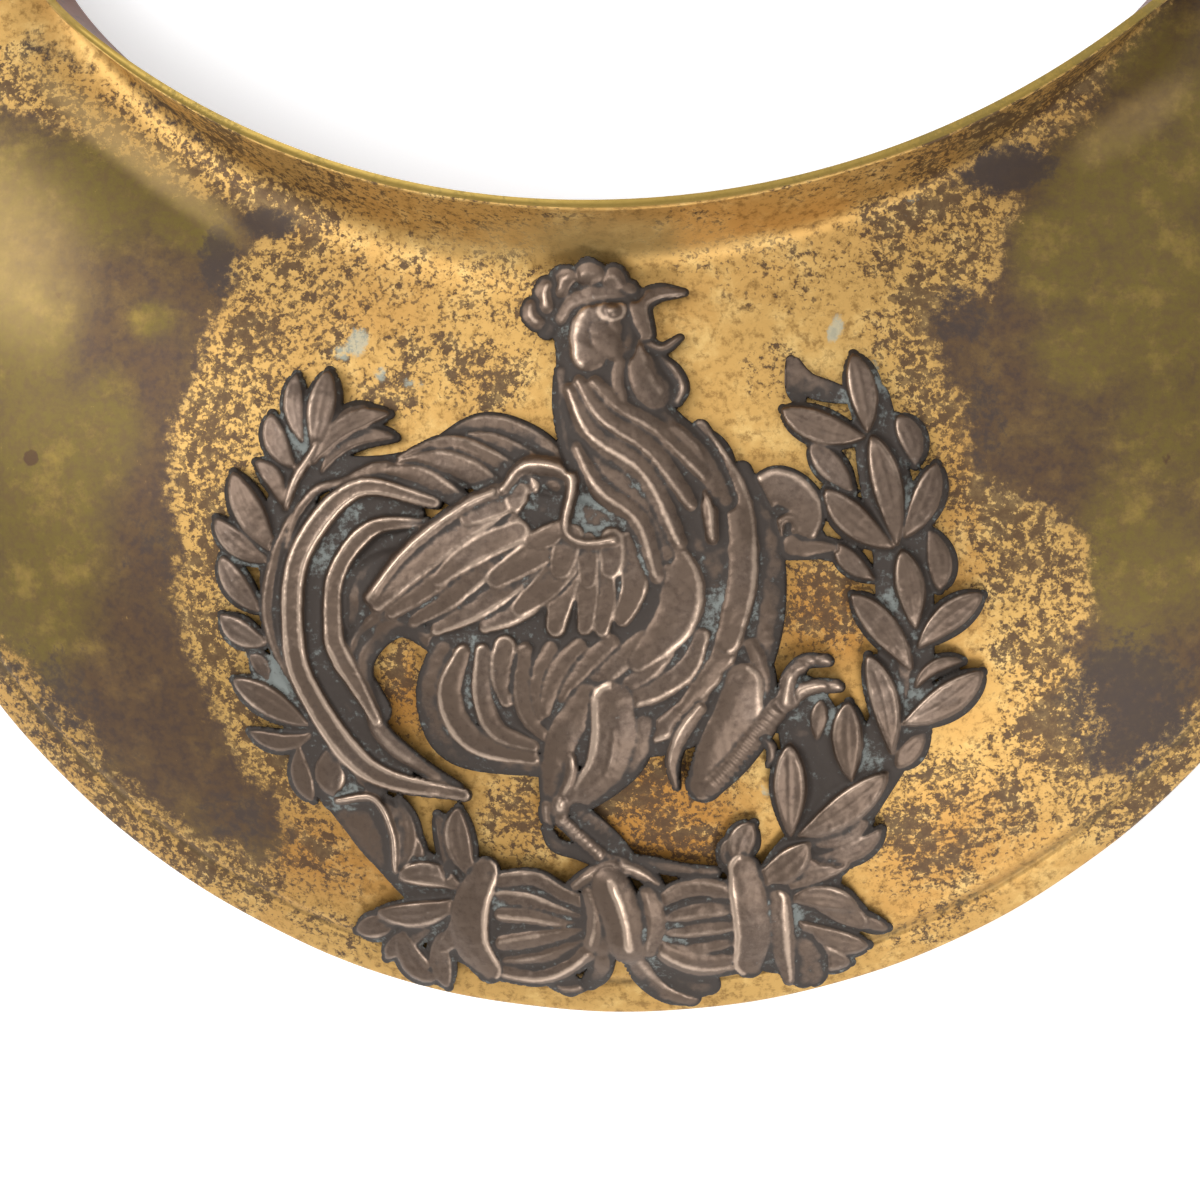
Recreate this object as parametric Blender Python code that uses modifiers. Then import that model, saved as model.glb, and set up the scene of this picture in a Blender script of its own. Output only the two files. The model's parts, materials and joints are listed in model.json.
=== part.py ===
"""Officer's gorget of gilt brass with a struck silver badge, lying on its back."""
import math

import bmesh
import bpy
import numpy as np
from mathutils import Matrix, Vector

MM = 0.001

# Outline of the plate, seen from the front
OUTER_RADIUS = 67.7 * MM
TIP_ANGLE = 113.0
NECK_RADIUS = 71.9 * MM
NECK_CENTRE_UP = 71.75 * MM
NECK_ARC = 50.0 * MM
NECK_TURN_RADIUS = 20.0 * MM
NECK_TURN_ARC = 9.0 * MM
NECK_TURN_BLEND = 4.0 * MM
TIP_ROUND = 5.5 * MM

# Form of the sheet
SHEET = 0.8 * MM
DOME_RISE = 15.0 * MM
DOME_SPAN = 59.0 * MM
DOME_FULLNESS = 3.4
DOME_NARROWING = 0.62
DOME_SAG = 0.05
EDGE_ARCH = 3.0 * MM
FLANGE_HEIGHT = 7.6 * MM
FLANGE_TIP_HEIGHT = 0.7 * MM
FLARE_MIDDLE = 4.2 * MM
FLARE_HORN = -0.9 * MM
FILLET_REACH = 2.2 * MM
FILLET_RISE = 0.3
BORDER_WIDTH = 2.3 * MM
GROOVE_WIDTH = 0.8 * MM
GROOVE_DEPTH = 0.25 * MM
BORDER_FULL_SPAN = 16.0 * MM
SLOPE_STEP = 0.05 * MM

# Rows across the sheet: the dome as shares of its width, the fold and the flange as shares of their own
DOME_ROWS = (0.09, 0.14, 0.2, 0.28, 0.38, 0.5, 0.63, 0.76, 0.88)
FOLD_ROWS = (0.0, 0.35, 0.65, 1.0)
FLANGE_ROWS = (0.5, 1.0)
STATIONS = 52
TIP_ROWS = (0.35, 0.62, 0.82, 0.94, 1.0)

# Badge
BADGE_WIDTH = 65.0 * MM
BADGE_LEFT = -32.6 * MM
BADGE_BOTTOM = -66.8 * MM
BADGE_GAP = 0.4 * MM
BADGE_GROUND = 0.55 * MM
RELIEF = 1.0 * MM
BADGE_PITCH = 0.42 * MM
BADGE_TRIANGLES = 5400

# Posts of the badge: right, up, as shares of the badge's width
POSTS = ((0.09, 0.62), (0.5, 0.52), (0.9, 0.62))
POST_RADIUS = 0.9 * MM
POST_CLEARANCE = 0.3 * MM
POST_HEAD_RADIUS = 1.8 * MM
POST_HEAD_THICKNESS = 0.8 * MM
POST_HEAD_GAP = 0.45 * MM
POST_SIDES = 12
HOLE_REACH = 4.0 * MM

# Studs at the horns
STUD_PLACE = 0.935
STUD_SHANK_RADIUS = 1.1 * MM
STUD_HEAD_RADIUS = 2.9 * MM
STUD_HEAD_THICKNESS = 1.4 * MM
STUD_NECK = 1.2 * MM
STUD_FOOT_RADIUS = 2.0 * MM
STUD_FOOT_THICKNESS = 0.7 * MM
STUD_GAP = 0.3 * MM
STUD_SIDES = 24

# The drawing of the badge is laid out in thousandths of the badge's width, from its left edge
# and its bottom. Widths use the same unit; heights are in shares of RELIEF.
LEAF_SKIRT = 7.0
# Leaves: tip right, tip up, base right, base up, half width, bend, level, crown height
LEAVES = (
    (159, 94, 219, 108, 15.1, 0, 0.05, 0.5),
    (195, 57, 261, 96, 13.7, 0.1, 0, 0.5),
    (259, 28, 221, 96, 17.8, 0.15, 0.1, 0.6),
    (275, 19, 278, 96, 14.9, 0.1, 0.05, 0.55),
    (268, 69, 290, 117, 10.9, -0.2, 0.1, 0.5),
    (191, 120, 305, 138, 16.3, -0.1, 0.25, 0.7),
    (223, 166, 308, 150, 16.1, 0.15, 0.2, 0.7),
    (260, 195, 216, 269, 16, 0.1, 0.05, 0.45),
    (280, 250, 287, 164, 11.9, 0.1, 0.05, 0.4),
    (309, 259, 325, 164, 17.1, -0.1, 0.3, 0.6),
    (114, 275, 98, 327, 12.1, 0.1, 0, 0.45),
    (144, 275, 139, 334, 20, 0, 0.15, 0.4),
    (36, 358, 120, 355, 10.7, -0.15, 0.1, 0.5),
    (19, 425, 117, 366, 18.6, 0, 0.3, 0.7),
    (44, 458, 65, 422, 10.6, 0.1, 0.05, 0.4),
    (7, 509, 68, 473, 15.9, -0.1, 0.25, 0.65),
    (10, 585, 61, 514, 15.8, -0.08, 0.25, 0.65),
    (3, 634, 74, 579, 15.8, -0.1, 0.2, 0.65),
    (57, 706, 90, 652, 11.8, 0.15, 0.15, 0.55),
    (27, 693, 84, 589, 19.6, -0.05, 0.35, 0.7),
    (240, 737, 144, 692, 10.4, -0.2, 0.1, 0.5),
    (205, 777, 152, 722, 11.7, -0.12, 0.15, 0.55),
    (232, 767, 134, 704, 13, -0.15, 0.3, 0.7),
    (78, 768, 110, 698, 15.7, -0.12, 0.1, 0.55),
    (110, 818, 120, 731, 13, -0.08, 0.15, 0.55),
    (153, 823, 135, 722, 18.2, 0, 0.35, 0.75),
    (857, 101, 804, 132, 7.9, 0.1, 0, 0.35),
    (831, 78, 745, 109, 15.8, 0.1, 0.1, 0.55),
    (807, 55, 731, 89, 15.9, 0.1, 0.1, 0.55),
    (810, 122, 731, 136, 17.1, 0.1, 0.15, 0.6),
    (812, 186, 715, 148, 18.2, -0.1, 0.2, 0.65),
    (855, 232, 765, 196, 11.7, 0.15, 0.05, 0.5),
    (840, 244, 758, 214, 11.7, 0.1, 0.1, 0.5),
    (663, 221, 678, 172, 13, -0.2, 0.1, 0.5),
    (692, 240, 669, 181, 16.9, -0.1, 0.15, 0.6),
    (762, 214, 686, 159, 19.5, 0.08, 0.35, 0.75),
    (864, 304, 749, 223, 20.6, 0.05, 0.35, 0.8),
    (878, 313, 917, 359, 12.9, 0, 0, 0.4),
    (784, 400, 777, 351, 10.3, 0, 0.1, 0.5),
    (742, 342, 739, 223, 20.6, 0, 0.4, 0.8),
    (819, 397, 820, 296, 19.2, -0.04, 0.3, 0.7),
    (964, 450, 905, 417, 7.7, -0.15, 0.15, 0.6),
    (989, 436, 888, 369, 20.4, 0.05, 0.35, 0.75),
    (845, 457, 872, 333, 17.9, 0.06, 0.35, 0.75),
    (889, 523, 892, 400, 10.2, 0, 0, 0.3),
    (991, 535, 910, 469, 17.8, -0.04, 0.35, 0.75),
    (826, 535, 900, 441, 19.1, 0.04, 0.35, 0.75),
    (936, 541, 924, 618, 15.3, -0.1, 0.1, 0.55),
    (805, 600, 853, 555, 12.7, -0.05, 0.25, 0.65),
    (890, 591, 906, 492, 17.8, 0.03, 0.4, 0.75),
    (794, 669, 879, 596, 20.4, -0.06, 0.35, 0.75),
    (934, 702, 894, 609, 17.8, 0.06, 0.35, 0.75),
    (775, 727, 828, 667, 16.5, 0, 0.2, 0.55),
    (884, 762, 907, 700, 15.3, 0.12, 0.1, 0.5),
    (853, 737, 884, 600, 19.1, 0.04, 0.45, 0.8),
    (739, 772, 844, 736, 20.4, -0.06, 0.35, 0.75),
    (828, 842, 847, 743, 17.9, 0.04, 0.4, 0.8),
)

# Cock: name, four places along a stroke, three half widths, level, crown, tilt, ridge place, ridge height
COCK = (
    ("tail outer thin", 157, 670, 111, 631, 84, 567, 87, 440, 6.5, 7.8, 3.9, 0.1, 0.4, 0, 0, 0),
    ("sickle 4", 241, 503, 211, 487, 184, 457, 175, 435, 13, 13, 3.9, 0.05, 0.45, 0.3, -0.2, 0.25),
    ("sickle 5", 279, 464, 236, 472, 204, 436, 212, 384, 7.8, 13, 15.6, 0.05, 0.5, -0.2, -0.45, 0.3),
    ("sickle 5 end", 213, 389, 230, 347, 262, 319, 306, 289, 15.8, 15.8, 5.3, 0.05, 0.5, -0.2, -0.45, 0.3),
    ("sickle 3", 270, 626, 184, 605, 152, 528, 164, 457, 7.8, 11.7, 13, 0.25, 0.55, -0.2, -0.3, 0.35),
    ("sickle 3 end", 164, 464, 175, 425, 189, 397, 213, 371, 13.1, 13.1, 10.5, 0.27, 0.55, -0.2, -0.3, 0.35),
    ("sickle 2", 293, 639, 201, 657, 144, 612, 119, 541, 6.5, 11.7, 10.4, 0.35, 0.55, -0.1, -0.3, 0.35),
    ("sickle 2 end", 119, 541, 112, 490, 118, 438, 140, 391, 10.5, 9.2, 6.6, 0.37, 0.55, -0.1, -0.3, 0.35),
    ("sickle 1", 299, 651, 205, 678, 125, 625, 96, 528, 6.5, 11.7, 11.7, 0.45, 0.55, -0.1, -0.4, 0.35),
    ("sickle 1 end", 97, 531, 108, 431, 186, 337, 314, 281, 11.9, 15.8, 10.5, 0.47, 0.55, 0.1, 0.45, 0.4),
    ("saddle d", 462, 694, 422, 718, 383, 733, 348, 743, 18, 16.7, 5.1, 0.2, 0.5, 0.3, 0.3, 0.2),
    ("saddle c", 435, 684, 383, 710, 338, 733, 283, 724, 18, 18, 5.1, 0.3, 0.5, 0.3, 0.4, 0.25),
    ("saddle a", 403, 695, 351, 723, 299, 733, 243, 712, 12.9, 15.5, 3.9, 0.4, 0.55, 0.3, 0.45, 0.3),
    ("saddle b", 396, 682, 344, 695, 299, 705, 251, 705, 11.6, 14.2, 3.9, 0.4, 0.5, 0.3, 0.4, 0.3),
    ("saddle e", 403, 666, 364, 682, 338, 690, 312, 687, 11.6, 12.9, 5.1, 0.35, 0.45, 0.3, 0.4, 0.2),
    ("far wing", 700, 656, 729, 666, 761, 643, 766, 599, 20.4, 28, 15.3, 0.2, 0.6, 0, 0.75, 0.3),
    ("far wing curl", 731, 614, 738, 635, 754, 638, 763, 613, 6.4, 10.2, 5.1, 0.55, 0.4, 0, 0, 0),
    ("far wing link", 748, 599, 767, 595, 783, 597, 801, 595, 15.3, 11.5, 6.4, 0.05, 0.4, 0, 0, 0),
    ("breast edge", 611, 752, 691, 681, 741, 579, 708, 400, 17.8, 16.6, 15.3, 0.05, 0.6, 0.2, 0.3, 0.3),
    ("breast 1", 621, 733, 678, 656, 705, 560, 692, 477, 11.5, 14, 10.2, 0.25, 0.6, 0, 0.2, 0.35),
    ("breast 2", 692, 477, 679, 445, 649, 413, 615, 372, 11.5, 15.4, 6.4, 0.25, 0.55, 0, 0.2, 0.3),
    ("breast 3", 616, 713, 651, 656, 654, 618, 641, 599, 7.7, 11.5, 6.4, 0.4, 0.55, 0, 0, 0.3),
    ("breast 4", 621, 656, 638, 611, 633, 586, 617, 569, 6.4, 8.9, 5.1, 0.35, 0.45, 0, 0, 0.2),
    ("breast 5", 684, 605, 681, 528, 659, 464, 617, 413, 10.2, 12.8, 5.1, 0.25, 0.5, -0.2, 0.4, 0.3),
    ("breast 6", 648, 592, 655, 528, 631, 464, 578, 413, 7.7, 11.5, 5.1, 0.2, 0.45, 0.2, 0.4, 0.3),
    ("breast 7", 620, 579, 626, 528, 605, 477, 560, 439, 11.5, 14.1, 5.1, 0.25, 0.45, 0.3, 0.5, 0.35),
    ("breast 8", 586, 541, 596, 509, 573, 464, 527, 426, 9, 10.2, 3.8, 0.2, 0.4, 0.2, 0.4, 0.3),
    ("breast 9", 555, 503, 551, 471, 527, 439, 488, 406, 9, 10.3, 3.9, 0.2, 0.4, 0.2, 0.4, 0.3),
    ("breast 10", 515, 471, 502, 445, 482, 419, 461, 393, 9, 10.3, 3.9, 0.15, 0.4, 0.2, 0.4, 0.3),
    ("breast 11", 623, 413, 609, 385, 583, 364, 550, 348, 11.6, 12.9, 5.2, 0.3, 0.5, 0.2, 0.5, 0.4),
    ("breast 12", 618, 451, 591, 413, 565, 394, 532, 374, 9, 10.3, 3.9, 0.25, 0.45, 0.2, 0.4, 0.35),
    ("flank rim", 291, 458, 276, 399, 302, 328, 419, 312, 17, 19.6, 15.7, -0.1, 0.35, 0, 0, 0),
    ("flank 1", 328, 449, 308, 400, 335, 341, 413, 325, 10.4, 18.2, 11.7, 0.15, 0.55, 0.4, 0.65, 0.5),
    ("flank 2", 344, 449, 352, 400, 369, 354, 412, 340, 7.8, 10.4, 7.8, 0.3, 0.5, 0.3, 0.4, 0.4),
    ("flank 3", 357, 451, 366, 425, 377, 406, 385, 392, 11.7, 14.3, 3.9, 0.2, 0.5, 0.2, 0.5, 0.3),
    ("flank 4", 383, 458, 385, 432, 397, 406, 413, 384, 7.8, 9.1, 3.9, 0.2, 0.45, 0.2, 0.3, 0.3),
    ("flank 5", 431, 451, 421, 426, 420, 400, 428, 371, 10.3, 10.3, 3.9, 0.2, 0.45, 0.2, 0.3, 0.3),
    ("flank 6", 464, 464, 452, 432, 449, 400, 458, 374, 10.3, 11.6, 3.9, 0.2, 0.45, 0.2, 0.3, 0.3),
    ("flank 7", 488, 413, 467, 380, 447, 355, 426, 322, 9.1, 10.4, 3.9, 0.15, 0.4, 0.2, 0.3, 0.3),
    ("flank 8", 396, 384, 409, 371, 427, 355, 435, 322, 7.8, 9.1, 5.2, 0.15, 0.35, 0, 0, 0),
    ("primary 5", 427, 539, 400, 518, 380, 503, 363, 492, 12.9, 11.6, 7.7, 0.4, 0.5, 0.2, 0.6, 0.3),
    ("primary 4", 414, 564, 375, 539, 335, 513, 298, 490, 12.9, 12.9, 7.7, 0.45, 0.5, 0.2, 0.7, 0.35),
    ("primary 3", 408, 590, 362, 559, 316, 526, 272, 495, 14.2, 12.9, 7.7, 0.5, 0.5, 0.2, 0.7, 0.35),
    ("primary 2", 396, 618, 343, 582, 290, 541, 244, 510, 14.2, 14.2, 7.7, 0.55, 0.5, 0.2, 0.7, 0.35),
    ("primary 1", 376, 641, 318, 603, 265, 564, 213, 527, 15.5, 18.1, 10.3, 0.65, 0.5, 0.1, -0.75, 0.35),
    ("secondary 5", 541, 579, 545, 547, 542, 524, 534, 500, 17.9, 17.9, 10.2, 0.35, 0.5, 0.1, 0.6, 0.3),
    ("secondary 4", 512, 567, 514, 535, 514, 509, 508, 490, 12.8, 14.1, 10.3, 0.4, 0.5, 0, 0, 0.15),
    ("secondary 3", 489, 564, 488, 535, 487, 509, 484, 489, 11.6, 11.6, 9, 0.4, 0.5, 0, 0, 0.2),
    ("secondary 2", 461, 564, 455, 528, 452, 503, 449, 487, 14.1, 14.1, 9, 0.4, 0.5, 0, 0.3, 0.3),
    ("secondary 1", 434, 573, 420, 548, 410, 528, 401, 513, 16.7, 15.4, 10.3, 0.45, 0.5, 0, 0.5, 0.3),
    ("covert 1", 402, 631, 363, 612, 337, 599, 304, 580, 18, 18, 10.3, 0.7, 0.4, 0.1, 0.6, 0.2),
    ("covert 2", 415, 599, 389, 586, 369, 564, 353, 554, 16.7, 18, 10.3, 0.7, 0.45, 0.1, 0.6, 0.3),
    ("covert 3", 438, 585, 417, 572, 395, 560, 379, 551, 15.4, 18, 11.6, 0.75, 0.45, 0, 0.7, 0.35),
    ("covert 4", 487, 579, 489, 564, 491, 554, 494, 546, 11.5, 11.5, 9, 0.65, 0.45, 0, 0, 0.2),
    ("covert 5", 475, 595, 466, 582, 460, 572, 456, 567, 15.4, 15.4, 11.6, 0.7, 0.5, 0, 0, 0.2),
    ("covert 6", 510, 595, 515, 579, 519, 569, 521, 563, 15.4, 15.4, 11.5, 0.7, 0.5, 0, 0, 0.2),
    ("covert 7", 443, 620, 434, 613, 425, 605, 419, 601, 14.1, 15.4, 10.3, 0.8, 0.45, 0, 0, 0.2),
    ("covert 8", 371, 646, 361, 641, 350, 638, 340, 635, 11.6, 14.2, 9, 0.9, 0.5, 0, 0.5, 0.3),
    ("covert 9", 392, 682, 395, 669, 400, 659, 402, 652, 10.3, 12.9, 7.7, 0.85, 0.6, 0, 0, 0.2),
    ("arm", 384, 672, 338, 659, 272, 608, 206, 531, 10.3, 9, 7.7, 0.85, 0.6, 0, 0, 0.15),
    ("shoulder", 391, 677, 416, 695, 462, 677, 466, 640, 9, 12.8, 9, 0.9, 0.75, 0, 0.3, 0.2),
    ("shoulder hook", 466, 643, 467, 618, 479, 601, 529, 606, 9, 7.7, 7.7, 0.7, 0.6, 0, 0, 0.1),
    ("hackle back", 454, 812, 458, 784, 461, 746, 470, 710, 7.7, 9, 6.4, 0.25, 0.45, 0, 0, 0),
    ("hackle b", 475, 733, 498, 679, 582, 637, 570, 556, 9, 12.8, 7.7, 0.35, 0.65, 0.1, 0.3, 0.35),
    ("hackle a", 471, 771, 493, 726, 598, 694, 605, 618, 9, 12.8, 6.4, 0.35, 0.65, 0.1, 0.3, 0.4),
    ("hackle 0", 480, 799, 512, 752, 583, 720, 618, 630, 6.4, 10.2, 5.1, 0.3, 0.55, 0.1, 0.2, 0.3),
    ("hackle 1", 490, 807, 521, 771, 583, 745, 621, 681, 6.4, 10.2, 5.1, 0.3, 0.55, 0.1, 0.2, 0.3),
    ("hackle 2", 518, 812, 550, 768, 595, 752, 634, 707, 9, 11.5, 6.4, 0.2, 0.45, 0, 0, 0.2),
    ("hackle 3", 557, 809, 570, 765, 621, 743, 649, 697, 9, 12.8, 7.7, 0.15, 0.45, 0, 0, 0),
    ("wattle back", 586, 835, 603, 816, 609, 796, 604, 781, 5.1, 9, 6.4, 0.1, 0.5, 0.2, 0.5, 0.35),
    ("wattle", 564, 845, 563, 822, 567, 803, 572, 791, 12.8, 19.2, 19.2, 0.3, 0.8, 0, 0.3, 0.2),
    ("lower beak", 556, 879, 566, 858, 584, 854, 606, 862, 7.7, 10.2, 6.4, 0.2, 0.55, -0.3, -0.4, 0.4),
    ("upper beak", 556, 873, 550, 904, 575, 915, 610, 918, 6.4, 14.1, 6.4, 0.3, 0.6, 0.3, 0.45, 0.4),
    ("brow", 545, 925, 540, 899, 540, 874, 546, 848, 12.8, 12.8, 10.3, 0.1, 0.35, 0, 0, 0),
    ("face", 512, 897, 502, 880, 494, 861, 489, 845, 28.3, 32.1, 20.6, 0.3, 0.55, 0, -0.75, 0.3),
    ("socket", 514, 901, 517, 899, 520, 898, 524, 897, 11.6, 11.6, 10.3, 0.65, 0.2, 0, 0, 0),
    ("eye", 518, 899, 520, 899, 521, 898, 522, 898, 5.8, 6.4, 5.8, 0.85, 0.35, 0, 0, 0),
    ("comb band", 444, 889, 472, 917, 510, 933, 547, 931, 10.3, 12.9, 10.3, 0.1, 0.35, 0, 0, 0),
    ("comb a", 415, 890, 416, 897, 419, 905, 424, 910, 10.3, 12.9, 9, 0.35, 0.6, 0, 0, 0.2),
    ("comb b", 423, 913, 426, 923, 433, 931, 442, 933, 11.6, 14.2, 10.3, 0.4, 0.65, 0, 0, 0.2),
    ("comb c", 447, 930, 455, 941, 460, 948, 465, 954, 11.6, 14.2, 10.3, 0.4, 0.65, 0, 0, 0.2),
    ("comb d", 475, 943, 491, 948, 506, 951, 522, 955, 10.3, 11.6, 10.3, 0.4, 0.65, 0, -0.2, 0.2),
    ("comb e", 529, 948, 536, 943, 540, 938, 542, 930, 9, 10.3, 6.4, 0.3, 0.5, 0, 0, 0.1),
    ("comb f", 452, 959, 471, 962, 491, 965, 511, 964, 6.5, 7.7, 5.2, 0.15, 0.4, 0, 0, 0.1),
    ("thigh back", 500, 400, 467, 361, 442, 309, 430, 263, 15.5, 16.8, 10.4, 0.1, 0.4, 0, 0, 0.1),
    ("thigh", 516, 393, 522, 348, 503, 309, 462, 264, 23.3, 25.9, 12.9, 0.3, 0.6, -0.2, -0.75, 0.45),
    ("thigh fold", 522, 355, 524, 329, 510, 312, 496, 296, 6.5, 7.8, 3.9, 0.6, 0.3, 0, 0, 0.2),
    ("thigh side", 550, 342, 529, 312, 502, 290, 476, 270, 11.7, 13, 7.8, 0.05, 0.35, 0, 0, 0),
    ("hock back", 425, 254, 425, 248, 425, 244, 426, 240, 9.2, 9.2, 7.9, 0.3, 0.6, 0, 0, 0),
    ("hock", 442, 260, 442, 254, 442, 249, 443, 245, 10.5, 10.5, 9.2, 0.4, 0.7, 0, 0, 0),
    ("shank back", 436, 241, 456, 220, 476, 199, 495, 178, 10.5, 11.8, 10.5, 0, 0.35, 0, 0, 0),
    ("shank side", 475, 262, 493, 239, 510, 215, 530, 191, 9.2, 10.5, 10.5, 0, 0.35, 0, 0, 0),
    ("shank", 444, 244, 467, 224, 486, 205, 509, 183, 9.2, 9.8, 10.5, 0.35, 0.6, 0, 0, 0),
    ("spur", 434, 204, 447, 196, 465, 194, 480, 183, 3.9, 6.6, 7.9, 0.1, 0.45, 0, 0, 0.2),
    ("toe 1", 506, 183, 490, 175, 470, 167, 449, 151, 10.5, 10.5, 7.9, 0.3, 0.6, 0, 0, 0.1),
    ("toe 2", 509, 183, 526, 176, 544, 160, 559, 139, 10.5, 10.5, 7.9, 0.3, 0.6, 0, 0, 0.1),
    ("toe 3", 514, 186, 542, 184, 571, 176, 604, 172, 9.2, 9.2, 6.6, 0.2, 0.5, 0, 0, 0.1),
    ("far thigh edge", 697, 464, 709, 426, 706, 394, 689, 364, 10.3, 12.8, 7.7, 0.05, 0.4, 0, 0, 0),
    ("far thigh slip", 628, 379, 604, 348, 590, 316, 593, 286, 7.7, 9, 2.6, 0.1, 0.5, 0.3, -0.3, 0.3),
    ("far thigh", 687, 426, 677, 381, 650, 335, 629, 289, 23.1, 27, 21.9, 0.3, 0.65, 0.2, 0.8, 0.35),
    ("raised shank", 640, 287, 671, 322, 707, 367, 744, 410, 14.2, 14.2, 12.9, 0.5, 0.6, 0, -0.1, 0.1),
    ("raised toe 1", 742, 405, 747, 428, 763, 449, 787, 453, 11.5, 10.2, 6.4, 0.45, 0.6, 0, 0, 0.1),
    ("raised toe 2", 742, 397, 757, 410, 777, 421, 802, 419, 11.5, 10.3, 7.7, 0.45, 0.6, 0, 0, 0.1),
    ("raised knob 1", 781, 451, 785, 453, 789, 453, 793, 451, 6.4, 7.7, 6.4, 0.75, 0.5, 0, 0, 0),
    ("raised knob 2", 796, 419, 799, 419, 803, 419, 807, 418, 6.4, 8.3, 6.4, 0.75, 0.5, 0, 0, 0),
    ("raised knob 3", 754, 439, 757, 439, 759, 440, 762, 441, 5.1, 6.4, 5.1, 0.85, 0.5, 0, 0, 0),
    ("raised spur", 712, 346, 717, 338, 716, 328, 713, 317, 5.2, 6.4, 2.6, 0.4, 0.5, 0, 0, 0.1),
)

# Bow, with the same columns
BOW = (
    ("left tail", 464, 78, 431, 55, 422, 37, 439, 22, 16.1, 20.1, 16.1, 0, 0.5, 0.2, 0.7, 0.3),
    ("left tail 2", 483, 78, 479, 58, 473, 41, 463, 25, 16.1, 17.4, 12, -0.05, 0.45, 0, 0.5, 0.2),
    ("right tail", 523, 82, 534, 51, 551, 24, 586, 8, 13.4, 18.7, 10.7, 0.1, 0.5, 0.2, 0.5, 0.4),
    ("right tail 2", 561, 65, 575, 45, 598, 31, 618, 24, 21.3, 24, 14.7, -0.05, 0.35, 0, 0.6, 0.2),
    ("right slip", 709, 145, 698, 99, 701, 58, 722, 25, 17.1, 19.8, 6.6, 0.2, 0.55, 0.2, 0.7, 0.4),
    ("right slip 2", 738, 92, 746, 72, 758, 58, 775, 50, 15.9, 17.2, 7.9, 0, 0.4, 0, 0.5, 0.2),
    ("left hollow", 452, 105, 419, 104, 386, 104, 356, 103, 21.3, 45.4, 48, -0.15, 0.12, 0, 0, 0),
    ("left top", 470, 144, 436, 154, 397, 164, 364, 166, 10.6, 11.9, 11.9, 0.45, 0.55, 0, 0.5, 0.3),
    ("left pleat 1", 458, 125, 424, 135, 393, 144, 360, 147, 5.3, 10.6, 10.6, 0.15, 0.5, 0.2, 0.5, 0.35),
    ("left pleat 2", 462, 111, 427, 119, 395, 126, 359, 127, 5.3, 12, 12, 0.2, 0.5, 0.2, 0.5, 0.35),
    ("left pleat 3", 462, 103, 426, 98, 392, 92, 356, 88, 5.3, 10.7, 12, 0.15, 0.5, 0.2, 0.5, 0.3),
    ("left pleat 4", 464, 98, 428, 84, 393, 72, 357, 66, 5.3, 12, 12, 0.2, 0.5, 0.2, 0.5, 0.3),
    ("left bottom", 471, 90, 443, 64, 401, 44, 351, 38, 9.4, 13.4, 12.1, 0.45, 0.6, -0.2, 0.6, 0.35),
    ("left strap", 351, 167, 319, 137, 313, 77, 345, 38, 16.1, 20.1, 14.7, 0.5, 0.6, -0.2, -0.72, 0.4),
    ("right hollow", 564, 105, 590, 105, 616, 105, 644, 104, 21.1, 44.9, 47.6, -0.15, 0.12, 0, 0, 0),
    ("right top", 553, 139, 582, 155, 614, 163, 655, 160, 9.2, 11.8, 11.8, 0.45, 0.55, 0, 0.4, 0.3),
    ("right pleat 1", 567, 109, 597, 119, 623, 121, 652, 120, 6.6, 11.9, 11.9, 0.25, 0.5, 0.2, 0.5, 0.35),
    ("right pleat 2", 568, 98, 596, 97, 622, 97, 650, 99, 6.6, 9.3, 9.3, 0.2, 0.5, 0.2, 0.5, 0.3),
    ("right bottom", 552, 88, 581, 65, 612, 53, 659, 53, 10.6, 16, 13.3, 0.4, 0.6, 0.2, 0.5, 0.35),
    ("right strap", 669, 173, 672, 139, 672, 99, 665, 55, 18.4, 23.6, 17.1, 0.5, 0.6, 0.2, 0.55, 0.55),
    ("left pad", 474, 148, 472, 128, 472, 105, 473, 85, 9.3, 10.6, 9.3, 0.35, 0.5, 0, 0.2, 0.3),
    ("right pad", 552, 132, 558, 119, 558, 98, 549, 82, 9.2, 11.9, 10.6, 0.35, 0.5, 0, 0.2, 0.3),
    ("knot", 507, 152, 507, 129, 506, 105, 507, 79, 29.1, 33.1, 31.7, 0.5, 0.75, 0.1, 0.35, 0.3),
    ("knot fold", 533, 148, 535, 128, 535, 105, 532, 82, 7.9, 9.2, 9.2, 0.75, 0.5, 0, 0, 0.1),
)

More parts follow.
